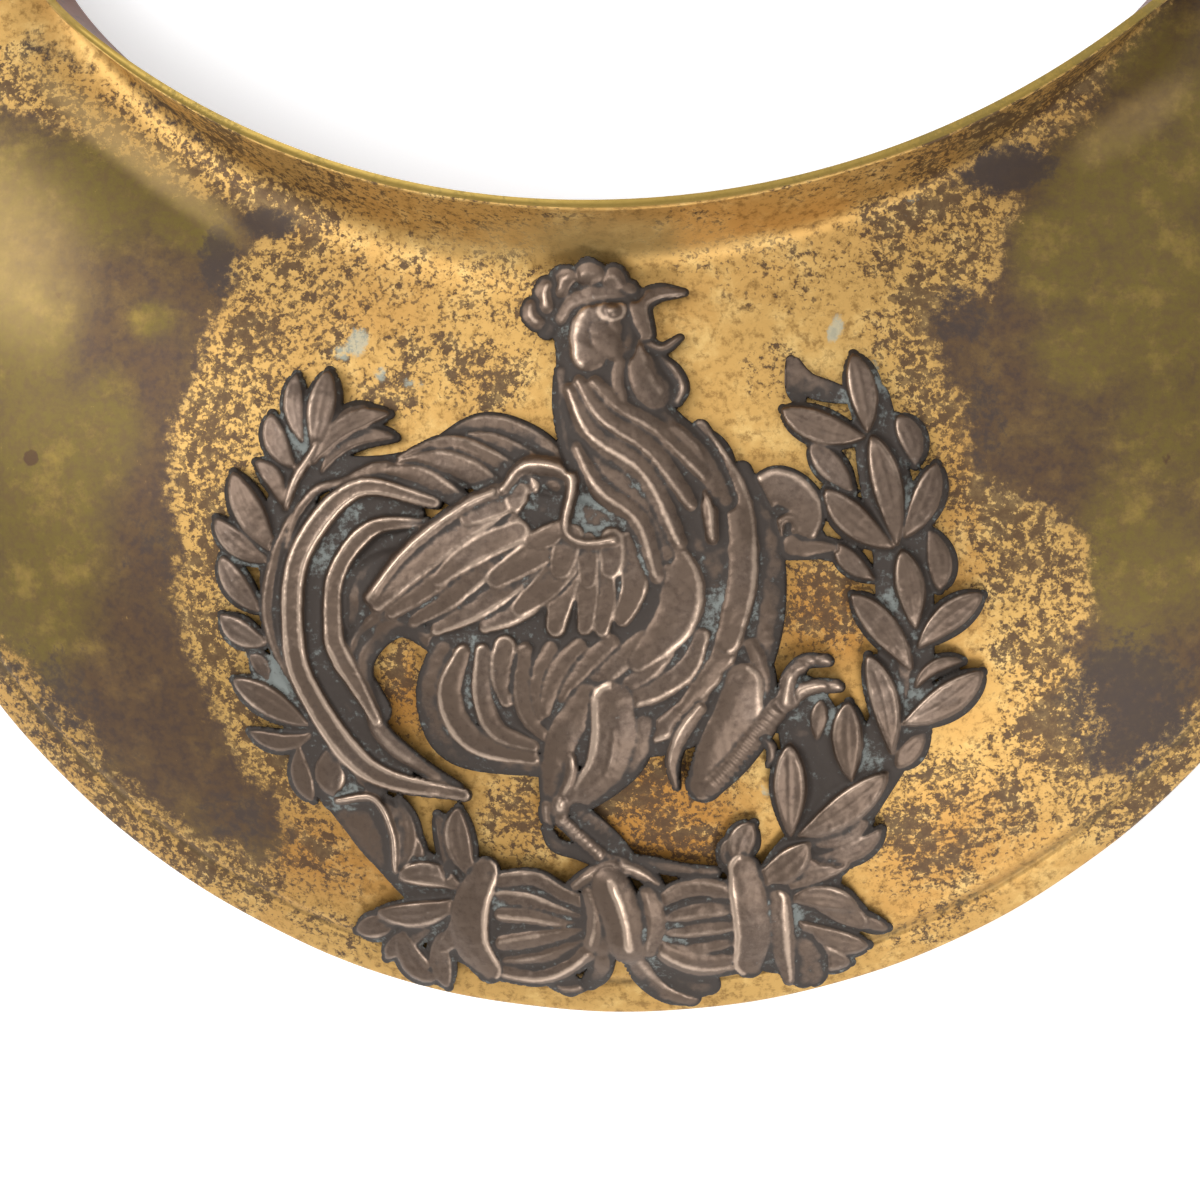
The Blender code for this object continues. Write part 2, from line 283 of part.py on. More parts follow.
# Plain ground between the shapes: four places along a stroke, three half widths
GROUND = (
    (452, 503, 490, 503, 523, 503, 550, 503, 173.5, 195.3, 177.4),
    (505, 848, 521, 758, 557, 694, 593, 630, 57.6, 76.9, 105),
    (504, 892, 503, 881, 502, 871, 502, 861, 55.2, 56.5, 54),
    (434, 580, 375, 567, 310, 554, 244, 531, 103.1, 90.2, 28.3),
    (468, 912, 491, 932, 512, 938, 532, 931, 28.3, 28.3, 20.6),
    (550, 899, 556, 889, 561, 879, 564, 871, 17.9, 20.5, 17.9),
    (551, 835, 563, 822, 576, 803, 585, 790, 20.5, 25.6, 20.5),
    (429, 695, 377, 714, 325, 714, 273, 710, 38.6, 33.5, 12.9),
    (134, 721, 105, 657, 93, 580, 108, 477, 28.7, 33.9, 36.5),
    (108, 477, 114, 412, 135, 334, 156, 282, 36.9, 42.2, 34.3),
    (156, 282, 192, 232, 239, 179, 277, 147, 32.1, 32.1, 40.1),
    (277, 147, 294, 117, 313, 97, 339, 90, 45.7, 48.4, 45.7),
    (850, 783, 869, 681, 890, 579, 893, 464, 25.4, 35.6, 35.6),
    (893, 464, 881, 374, 827, 283, 768, 205, 35.9, 35.9, 38.5),
    (768, 205, 748, 165, 733, 125, 712, 92, 41.8, 54.9, 52.3),
    (155, 695, 221, 689, 286, 695, 377, 707, 18.1, 28.5, 31.1),
    (154, 605, 146, 528, 163, 451, 206, 386, 39.2, 33.9, 20.9),
    (114, 580, 110, 477, 146, 386, 235, 308, 31.5, 34.1, 18.4),
    (246, 631, 206, 580, 181, 528, 184, 451, 33.7, 44.1, 20.8),
    (247, 657, 187, 631, 153, 580, 141, 503, 31.1, 33.7, 26),
    (753, 830, 761, 814, 776, 801, 818, 789, 8.9, 15.3, 10.2),
    (748, 835, 749, 815, 751, 796, 761, 781, 6.4, 8.9, 7.7),
    (501, 682, 502, 656, 501, 631, 505, 599, 28.2, 30.7, 28.2),
    (748, 599, 767, 597, 786, 596, 811, 590, 20.4, 16.6, 15.3),
    (757, 400, 769, 361, 774, 323, 753, 270, 33.4, 43.7, 33.4),
    (704, 656, 729, 643, 748, 618, 776, 605, 33.1, 43.3, 17.8),
    (568, 906, 575, 897, 579, 886, 581, 873, 15.4, 17.9, 12.8),
)

# Broad swellings under the drawing: name, four places, three half widths, height
SWELLINGS = (
    ("left branch", 131, 747, 63, 580, 103, 347, 293, 103, 65.5, 60.2, 52.4, 0.55),
    ("right branch", 837, 815, 894, 579, 870, 348, 732, 105, 63.6, 63.6, 56, 0.55),
    ("body", 518, 631, 555, 528, 553, 426, 487, 374, 141, 179.4, 153.8, 1.75),
    ("rump", 350, 580, 374, 503, 359, 425, 396, 374, 90.4, 116.2, 77.5, 1.2),
    ("neck", 505, 848, 521, 758, 570, 682, 594, 579, 66.6, 84.5, 128.1, 1.45),
    ("head", 504, 912, 504, 886, 505, 861, 505, 835, 59.1, 64.2, 64.2, 1.2),
    ("wing", 505, 599, 428, 599, 324, 580, 225, 528, 89.9, 84.8, 43.7, 1.55),
    ("tail", 338, 695, 168, 657, 98, 503, 261, 302, 44.2, 67.5, 39, 0.75),
    ("near thigh", 552, 400, 518, 348, 484, 309, 450, 270, 77.7, 57, 28.5, 1.5),
    ("far thigh", 676, 464, 674, 400, 647, 348, 632, 290, 64.2, 51.4, 43.7, 1.2),
    ("bow", 326, 104, 432, 98, 589, 99, 675, 119, 66.7, 58.7, 66.7, 0.9),
    ("knot", 503, 138, 505, 118, 506, 98, 507, 78, 58.3, 60.9, 58.3, 1.7),
)


def smooth(a, b, x):
    """Ease from 0 at a to 1 at b."""
    u = np.clip((x - a) / (b - a), 0.0, 1.0)
    return u * u * (3.0 - 2.0 * u)


def neck_line(count):
    """Rim of the neck in plan for the right half: places, outward normals and length along it."""
    total = NECK_ARC + NECK_TURN_ARC
    fine = 600
    s = np.linspace(0.0, total, fine)
    bend = 1.0 / NECK_RADIUS + (1.0 / NECK_TURN_RADIUS - 1.0 / NECK_RADIUS) * smooth(
        NECK_ARC - NECK_TURN_BLEND, NECK_ARC + NECK_TURN_BLEND, s)
    ds = s[1] - s[0]
    angle = np.concatenate([[0.0], np.cumsum((bend[1:] + bend[:-1]) / 2.0) * ds])
    dx = np.cos(angle)
    dy = np.sin(angle)
    x = np.concatenate([[0.0], np.cumsum((dx[1:] + dx[:-1]) / 2.0) * ds])
    y = NECK_CENTRE_UP - NECK_RADIUS + np.concatenate([[0.0], np.cumsum((dy[1:] + dy[:-1]) / 2.0) * ds])
    at = np.linspace(0.0, total, count)
    place = np.stack([np.interp(at, s, x), np.interp(at, s, y)], axis=1)
    turn = np.interp(at, s, angle)
    normal = np.stack([np.sin(turn), -np.cos(turn)], axis=1)
    return place, normal, at


def flare(at):
    """Distance in plan that the rim leans over the neck, along the rim."""
    return FLARE_MIDDLE + (FLARE_HORN - FLARE_MIDDLE) * np.clip(at / NECK_ARC, 0.0, 1.1) ** 2


def fold_line(count):
    """Line where the dome meets the flange, right half."""
    place, normal, at = neck_line(count)
    return place + normal * flare(at)[:, None]


def distance_to(line, x, y):
    """Shortest distance in plan from every place to a line."""
    best = np.full(np.shape(x), 1e9)
    for (ax, ay), (bx, by) in zip(line[:-1], line[1:]):
        dx = bx - ax
        dy = by - ay
        t = np.clip(((x - ax) * dx + (y - ay) * dy) / (dx * dx + dy * dy), 0.0, 1.0)
        best = np.minimum(best, np.hypot(x - ax - t * dx, y - ay - t * dy))
    return best


def dome_height(x, y):
    """Height of the smooth front of the sheet over the floor line, at places in plan."""
    x = np.abs(np.asarray(x, float))
    y = np.asarray(y, float)
    inset = np.clip(OUTER_RADIUS - np.hypot(x, y), 0.0, None)
    to_fold = distance_to(fold_line(60), x, y)
    span = inset + to_fold
    share = inset / np.maximum(span, 1e-6)
    rise = DOME_RISE * (span / DOME_SPAN) ** DOME_NARROWING
    form = 1.0 - (1.0 - share) ** DOME_FULLNESS - DOME_SAG * smooth(0.7, 1.0, share)
    height = OUTER_RADIUS * (1.0 - math.cos(math.radians(TIP_ANGLE)))
    arch = EDGE_ARCH * np.sin(np.pi * np.clip((y + OUTER_RADIUS) / height, 0.0, 1.0)) ** 2
    return arch + rise * form


def sheet_height(x, y):
    """Height of the front of the sheet with the soft bend at the foot of the flange."""
    line = fold_line(60)
    side = np.abs(np.asarray(x, float))
    past = np.asarray(y, float) > np.interp(side, line[:, 0], line[:, 1])
    away = distance_to(line, side, y) * np.where(past, -1.0, 1.0)
    lean = FILLET_RISE * FLARE_MIDDLE
    inside = FILLET_REACH ** 2 - (FILLET_REACH - lean) * (FILLET_REACH - np.minimum(away, FILLET_REACH))
    u = (FILLET_REACH - np.sqrt(np.maximum(inside, 0.0))) / (FILLET_REACH - lean)
    return dome_height(x, y) + FLANGE_HEIGHT * FILLET_RISE * np.clip(u, 0.0, 1.0) ** 2


def curve_through(places, steps):
    """Smooth line through four places."""
    p = np.array(places, float).reshape(-1, 2)
    q = np.vstack([2.0 * p[0] - p[1], p, 2.0 * p[-1] - p[-2]])
    parts = []
    for i in range(1, len(p)):
        a, b, c, d = q[i - 1], q[i], q[i + 1], q[i + 2]
        t = np.linspace(0.0, 1.0, steps, endpoint=(i == len(p) - 1))[:, None]
        parts.append(0.5 * (2.0 * b + (c - a) * t + (2.0 * a - 5.0 * b + 4.0 * c - d) * t ** 2
                            + (3.0 * b - a - 3.0 * c + d) * t ** 3))
    return np.vstack(parts)


def follow(x, y, line):
    """Distance from a line, share of the way along it, and the side, for every place."""
    best = np.full(x.shape, 1e9)
    share = np.zeros(x.shape)
    side = np.ones(x.shape)
    step = np.diff(line, axis=0)
    length = np.hypot(step[:, 0], step[:, 1])
    before = np.concatenate([[0.0], np.cumsum(length)])
    for i, (dx, dy) in enumerate(step):
        t = ((x - line[i, 0]) * dx + (y - line[i, 1]) * dy) / (dx * dx + dy * dy + 1e-12)
        t = np.clip(t, 0.0, 1.0)
        ex = x - line[i, 0] - t * dx
        ey = y - line[i, 1] - t * dy
        away = np.hypot(ex, ey)
        near = away < best
        best = np.where(near, away, best)
        share = np.where(near, (before[i] + t * length[i]) / before[-1], share)
        side = np.where(near, np.sign(dy * ex - dx * ey), side)
    return best, share, side


def half_width(share, start, middle, end):
    """Half width along a stroke from its three stated values."""
    return (start * (1.0 - share) * (1.0 - 2.0 * share) + 4.0 * middle * share * (1.0 - share)
            + end * share * (2.0 * share - 1.0))


class Relief:
    """Raised drawing of the badge on a grid; its units are thousandths of the badge's width."""

    def __init__(self, pitch):
        self.pitch = pitch
        self.xs = np.arange(-12.0, 1012.0, pitch)
        self.ys = np.arange(-12.0, 990.0, pitch)
        self.x, self.y = np.meshgrid(self.xs, self.ys)
        self.base = np.zeros(self.x.shape)
        self.height = np.zeros(self.x.shape)
        self.inside = np.full(self.x.shape, -50.0)

    def patch(self, line, reach):
        low = line.min(axis=0) - reach
        high = line.max(axis=0) + reach
        i0, i1 = np.searchsorted(self.xs, [low[0], high[0]])
        j0, j1 = np.searchsorted(self.ys, [low[1], high[1]])
        return slice(max(j0 - 1, 0), j1 + 1), slice(max(i0 - 1, 0), i1 + 1)

    def swell(self, places, widths, height):
        line = curve_through(places, 9)
        at = self.patch(line, max(widths) + 2.0)
        away, share, side = follow(self.x[at], self.y[at], line)
        c = away / np.maximum(half_width(share, *widths), 1e-3)
        self.base[at] = np.maximum(self.base[at], height * np.clip(1.0 - c * c, 0.0, 1.0) ** 0.75)

    def settle(self, times):
        for _ in range(times):
            wide = np.pad(self.base, 1, mode="edge")
            self.base = (wide[:-2, 1:-1] + wide[2:, 1:-1] + wide[1:-1, :-2] + wide[1:-1, 2:]
                         + 2.0 * self.base) / 6.0

    def stroke(self, places, widths, level, crown, tilt, ridge_place, ridge):
        line = curve_through(places, 9)
        at = self.patch(line, max(widths) * 1.6 + 6.0)
        away, share, side = follow(self.x[at], self.y[at], line)
        wide = np.maximum(half_width(share, *widths), 1.3)
        c = away / wide
        across = side * c
        form = np.sqrt(np.clip(1.0 - c * c, 0.0, 1.0)) * (1.0 + tilt * across)
        crest = np.exp(-((across - ridge_place) / 0.22) ** 2) * np.clip((1.0 - c) * 4.0, 0.0, 1.0)
        form = form + ridge * crest
        self.height[at] = np.where(c < 1.0, self.base[at] + level + crown * form, self.height[at])
        self.inside[at] = np.maximum(self.inside[at], wide - away)

    def leaf(self, tip_x, tip_y, base_x, base_y, wide, bend, level, crown):
        middle_x = (tip_x + base_x) / 2.0 - bend * (base_y - tip_y)
        middle_y = (tip_y + base_y) / 2.0 + bend * (base_x - tip_x)
        t = np.linspace(0.0, 1.0, 16)[:, None]
        a = np.array([tip_x, tip_y], float)
        c = np.array([base_x, base_y], float)
        b = 2.0 * np.array([middle_x, middle_y]) - 0.5 * (a + c)
        line = (1.0 - t) ** 2 * a + 2.0 * t * (1.0 - t) * b + t * t * c
        at = self.patch(line, wide * 1.8 + 10.0)
        away, share, side = follow(self.x[at], self.y[at], line)
        half = wide * np.clip(np.sin(np.pi * np.clip(share, 0.0, 1.0) ** 0.85), 0.0, 1.0) ** 0.7 + 1.6
        out = away - half
        under = self.base[at] + level + 0.05 - 0.035 * np.maximum(out, 0.0)
        self.height[at] = np.where(out < LEAF_SKIRT, np.maximum(self.height[at], under), self.height[at])
        c = away / half
        form = np.clip(1.0 - c ** 4, 0.0, 1.0) * (0.62 + 0.38 * np.exp(-((c - 0.72) / 0.2) ** 2)
                                                  + 0.18 * np.exp(-(c / 0.16) ** 2))
        self.height[at] = np.where(c < 1.0, self.base[at] + level + crown * form, self.height[at])
        self.inside[at] = np.maximum(self.inside[at], LEAF_SKIRT - out)


def badge_relief(pitch):
    """Paint the whole badge, low shapes first."""
    art = Relief(pitch)
    for row in SWELLINGS:
        art.swell(row[1:9], row[9:12], row[12])
    art.settle(max(2, int(round(120.0 / pitch ** 2))))
    for row in GROUND:
        art.stroke(row[0:8], row[8:11], 0.0, 0.0, 0.0, 0.0, 0.0)
    for row in LEAVES:
        art.leaf(*row)
    for row in COCK + BOW:
        art.stroke(row[1:9], row[9:12], *row[12:17])
    return art


def tidy_faces(keep):
    """Fill pin holes and corner touches so that the sheet of faces is one clean piece."""
    keep = keep.copy()
    for _ in range(4):
        wide = np.pad(keep, 1)
        around = (wide[:-2, 1:-1].astype(int) + wide[2:, 1:-1] + wide[1:-1, :-2] + wide[1:-1, 2:])
        keep = (keep & (around > 1)) | (around == 4)
    for _ in range(30):
        a = keep[:-1, :-1]
        b = keep[:-1, 1:]
        c = keep[1:, :-1]
        d = keep[1:, 1:]
        cross = (a & d & ~b & ~c) | (b & c & ~a & ~d)
        if not cross.any():
            break
        for dj, di in ((0, 0), (0, 1), (1, 0), (1, 1)):
            keep[dj:keep.shape[0] - 1 + dj, di:keep.shape[1] - 1 + di] |= cross
    label = np.zeros(keep.shape, int)
    best = 0
    best_size = 0
    name = 0
    for start in zip(*np.nonzero(keep)):
        if label[start]:
            continue
        name += 1
        label[start] = name
        stack = [start]
        size = 0
        while stack:
            j, i = stack.pop()
            size += 1
            for nj, ni in ((j - 1, i), (j + 1, i), (j, i - 1), (j, i + 1)):
                on_grid = 0 <= nj < keep.shape[0] and 0 <= ni < keep.shape[1]
                if on_grid and keep[nj, ni] and not label[nj, ni]:
                    label[nj, ni] = name
                    stack.append((nj, ni))
        if size > best_size:
            best, best_size = name, size
    return label == best


def slopes(x, y):
    slope_x = (sheet_height(x + SLOPE_STEP, y) - sheet_height(x - SLOPE_STEP, y)) / (2.0 * SLOPE_STEP)
    slope_y = (sheet_height(x, y + SLOPE_STEP) - sheet_height(x, y - SLOPE_STEP)) / (2.0 * SLOPE_STEP)
    return slope_x, slope_y


def steepness(x, y):
    """Height of the sheet, measured straight up, for a thickness of one."""
    slope_x, slope_y = slopes(x, y)
    return np.sqrt(1.0 + slope_x ** 2 + slope_y ** 2)


def badge_mesh(art):
    """Closed mesh of the badge: relief in front, a back that follows the sheet, and a wall round it."""
    unit = BADGE_WIDTH / 1000.0
    gy, gx = np.gradient(art.inside, art.pitch)
    size = np.maximum(gx * gx + gy * gy, 0.3)
    near = np.abs(art.inside) < 0.75 * art.pitch
    x = art.x - np.where(near, art.inside * gx / size, 0.0)
    y = art.y - np.where(near, art.inside * gy / size, 0.0)
    good = (art.inside > 0.0) | near
    faces = good[:-1, :-1] & good[:-1, 1:] & good[1:, :-1] & good[1:, 1:]
    faces = faces & ((art.inside[:-1, :-1] > 0) | (art.inside[1:, 1:] > 0)
                     | (art.inside[1:, :-1] > 0) | (art.inside[:-1, 1:] > 0))
    faces = tidy_faces(faces)
    used = np.zeros(art.x.shape, bool)
    for dj, di in ((0, 0), (0, 1), (1, 0), (1, 1)):
        used[dj:used.shape[0] - 1 + dj, di:used.shape[1] - 1 + di] |= faces
    px = BADGE_LEFT + x[used] * unit
    py = BADGE_BOTTOM + y[used] * unit
    back = sheet_height(px, py) + BADGE_GAP * steepness(px, py)
    front = back + BADGE_GROUND + RELIEF * np.clip(art.height[used], 0.0, None)
    count = int(used.sum())
    number = np.full(art.x.shape, -1)
    number[used] = np.arange(count)
    verts = [(a, b, c) for a, b, c in zip(px, py, front)] + [(a, b, c) for a, b, c in zip(px, py, back)]
    quads = []
    for j, i in zip(*np.nonzero(faces)):
        a, b = number[j, i], number[j, i + 1]
        c, d = number[j + 1, i + 1], number[j + 1, i]
        quads.append((a, b, c, d))
        quads.append((a + count, d + count, c + count, b + count))
    wide = np.pad(faces, 1)
    for j, i in zip(*np.nonzero(faces)):
        corner = (number[j, i], number[j, i + 1], number[j + 1, i + 1], number[j + 1, i])
        if not wide[j, i + 1]:
            quads.append((corner[1], corner[0], corner[0] + count, corner[1] + count))
        if not wide[j + 2, i + 1]:
            quads.append((corner[3], corner[2], corner[2] + count, corner[3] + count))
        if not wide[j + 1, i]:
            quads.append((corner[0], corner[3], corner[3] + count, corner[0] + count))
        if not wide[j + 1, i + 2]:
            quads.append((corner[2], corner[1], corner[1] + count, corner[2] + count))
    mesh = bpy.data.meshes.new("badge")
    mesh.from_pydata([tuple(float(v) for v in p) for p in verts], [],
                     [tuple(int(v) for v in q) for q in quads])
    mesh.update()
    return mesh


def tip_start():
    return 1.0 - TIP_ROUND / (OUTER_RADIUS * math.radians(TIP_ANGLE))


def stations():
    """Stations along the crescent, closer together in the rounded ends."""
    start = tip_start()
    end = start + (1.0 - start) * np.array(TIP_ROWS)
    return np.concatenate([-end[::-1], np.linspace(-start, start, STATIONS + 1), end])


def tip_share(t):
    """How far into the rounded end of the horn a station lies, 0 to 1."""
    return np.clip((np.abs(t) - tip_start()) / (1.0 - tip_start()), 0.0, 1.0)


def station_places(t):
    """Plan places of the outer edge, the fold and the rim at stations t, -1 to 1."""
    t = np.asarray(t, float)
    angle = np.abs(t) * math.radians(TIP_ANGLE)
    edge = np.stack([OUTER_RADIUS * np.sin(angle), -OUTER_RADIUS * np.cos(angle)], axis=1)
    place, normal, at = neck_line(240)
    where = np.abs(t) * (NECK_ARC + NECK_TURN_ARC)
    rim = np.stack([np.interp(where, at, place[:, 0]), np.interp(where, at, place[:, 1])], axis=1)
    way = np.stack([np.interp(where, at, normal[:, 0]), np.interp(where, at, normal[:, 1])], axis=1)
    fold = rim + way * flare(where)[:, None]
    middle = (edge + fold) / 2.0
    close = np.sqrt(1.0 - 0.9 * tip_share(t) ** 2)[:, None]
    edge = middle + (edge - middle) * close
    rim = middle + (rim - middle) * close
    fold = middle + (fold - middle) * close
    sign = np.where(t < 0.0, -1.0, 1.0)[:, None]
    flip = np.concatenate([sign, np.ones_like(sign)], axis=1)
    return edge * flip, fold * flip, rim * flip


def plate_rows(t, detail):
    """Front of the sheet as rows from the outer edge to the rim, one column for each station."""
    edge, fold, rim = station_places(t)
    span = np.hypot(*(fold - edge).T)
    toward = (fold - edge) / span[:, None]
    fade = 1.0 - smooth(0.8, 1.0, np.abs(t))
    reach = FILLET_REACH * (0.35 + 0.65 * fade)
    dome_end = span - reach
    rows = []
    insets = [0.0 * span, BORDER_WIDTH * 0.5 + 0.0 * span, BORDER_WIDTH + 0.0 * span,
              BORDER_WIDTH + GROOVE_WIDTH / 2.0 + 0.0 * span, BORDER_WIDTH + GROOVE_WIDTH + 0.0 * span]
    dips = [0.0, 0.0, 0.0, -GROOVE_DEPTH, 0.0]
    squeeze = np.clip(span / BORDER_FULL_SPAN, 0.3, 1.0)
    for inset, dip in zip(insets, dips):
        plan = edge + toward * (inset * squeeze)[:, None]
        high = dome_height(plan[:, 0], plan[:, 1]) + (dip if detail else 0.0)
        rows.append(np.column_stack([plan, high]))
    first = (BORDER_WIDTH + GROOVE_WIDTH) * squeeze
    for share in DOME_ROWS:
        inset = first + (dome_end - first) * (share - DOME_ROWS[0] * 0.5) / (1.0 - DOME_ROWS[0] * 0.5)
        plan = edge + toward * inset[:, None]
        rows.append(np.column_stack([plan, dome_height(plan[:, 0], plan[:, 1])]))
    start = edge + toward * dome_end[:, None]
    start = np.column_stack([start, dome_height(start[:, 0], start[:, 1])])
    corner = np.column_stack([fold, dome_height(fold[:, 0], fold[:, 1])])
    tall = FLANGE_TIP_HEIGHT + (FLANGE_HEIGHT - FLANGE_TIP_HEIGHT) * fade
    top = np.column_stack([rim, corner[:, 2] + tall])
    bend_end = corner + (top - corner) * FILLET_RISE
    for u in FOLD_ROWS:
        rows.append((1.0 - u) ** 2 * start + 2.0 * u * (1.0 - u) * corner + u * u * bend_end)
    for u in FLANGE_ROWS:
        rows.append(bend_end + (top - bend_end) * u)
    return np.array(rows)


def grid_normals(grid):
    """Unit normals of a grid of places, pointing to the front."""
    across = np.gradient(grid, axis=0)
    along = np.gradient(grid, axis=1)
    normal = np.cross(along, across)
    return normal / np.linalg.norm(normal, axis=2)[:, :, None]


def plate_mesh():
    """Closed mesh of the formed sheet."""
    t = stations()
    front = plate_rows(t, True)
    plain = plate_rows(t, False)
    back = plain - grid_normals(plain) * SHEET
    rows, columns = front.shape[:2]
    count = rows * columns
    verts = [tuple(map(float, p)) for p in np.concatenate([front.reshape(-1, 3), back.reshape(-1, 3)])]

    def at(j, i, side):
        return side * count + j * columns + i

    faces = []
    for j in range(rows - 1):
        for i in range(columns - 1):
            faces.append((at(j, i, 0), at(j, i + 1, 0), at(j + 1, i + 1, 0), at(j + 1, i, 0)))
            faces.append((at(j, i, 1), at(j + 1, i, 1), at(j + 1, i + 1, 1), at(j, i + 1, 1)))
    for i in range(columns - 1):
        faces.append((at(0, i, 0), at(0, i, 1), at(0, i + 1, 1), at(0, i + 1, 0)))
        faces.append((at(rows - 1, i, 0), at(rows - 1, i + 1, 0), at(rows - 1, i + 1, 1),
                      at(rows - 1, i, 1)))
    for j in range(rows - 1):
        faces.append((at(j, 0, 0), at(j + 1, 0, 0), at(j + 1, 0, 1), at(j, 0, 1)))
        faces.append((at(j, columns - 1, 0), at(j, columns - 1, 1), at(j + 1, columns - 1, 1),
                      at(j + 1, columns - 1, 0)))
    mesh = bpy.data.meshes.new("plate")
    mesh.from_pydata(verts, [], faces)
    mesh.update()
    return mesh


def stud_frame(side):
    """Place and turn of a stud: on the middle of the horn, square to the sheet."""
    t = np.array([STUD_PLACE - 0.01, STUD_PLACE, STUD_PLACE + 0.01]) * side
    edge, fold, rim = station_places(t)
    middle = (edge + fold) / 2.0
    high = dome_height(middle[:, 0], middle[:, 1])
    x, y = middle[1]
    slope_x, slope_y = slopes(x, y)
    normal = Vector((-float(slope_x), -float(slope_y), 1.0)).normalized()
    turn = normal.to_track_quat("Z", "Y").to_matrix().to_4x4()
    return Matrix.Translation(Vector((float(x), float(y), float(high[1])))) @ turn


def material(name, colour, roughness, metallic):
    made = bpy.data.materials.new(name)
    made.use_nodes = True
    shader = made.node_tree.nodes["Principled BSDF"]
    shader.inputs["Base Color"].default_value = (*colour, 1.0)
    shader.inputs["Roughness"].default_value = roughness
    shader.inputs["Metallic"].default_value = metallic
    return made


def add_object(name, mesh, collection):
    made = bpy.data.objects.new(name, mesh)
    collection.objects.link(made)
    return made


def turned(name, profile, sides, collection):
    """Solid turned about its own Z axis from a profile of radius and height pairs."""
    mesh = bpy.data.meshes.new(name)
    points = [(r, 0.0, z) for r, z in reversed(profile)]
    mesh.from_pydata(points, [(i, i + 1) for i in range(len(points) - 1)], [])
    made = add_object(name, mesh, collection)
    screw = made.modifiers.new("turn", "SCREW")
    screw.axis = "Z"
    screw.steps = sides
    screw.render_steps = sides
    screw.use_merge_vertices = True
    screw.merge_threshold = 0.00001
    return made


def cylinder(name, radius, low, high, sides, collection):
    return turned(name, ((0.0, low), (radius, low), (radius, high), (0.0, high)), sides, collection)


def apply_all(made):
    """Replace the object's mesh by the result of its modifiers."""
    graph = bpy.context.evaluated_depsgraph_get()
    graph.update()
    mesh = bpy.data.meshes.new_from_object(made.evaluated_get(graph))
    made.modifiers.clear()
    made.data = mesh


def clean(mesh):
    work = bmesh.new()
    work.from_mesh(mesh)
    bmesh.ops.remove_doubles(work, verts=work.verts, dist=0.000002)
    bmesh.ops.recalc_face_normals(work, faces=work.faces)
    work.to_mesh(mesh)
    work.free()


def combine(target, other, operation):
    cut = target.modifiers.new(operation.lower(), "BOOLEAN")
    cut.operation = operation
    cut.solver = "EXACT"
    cut.object = other


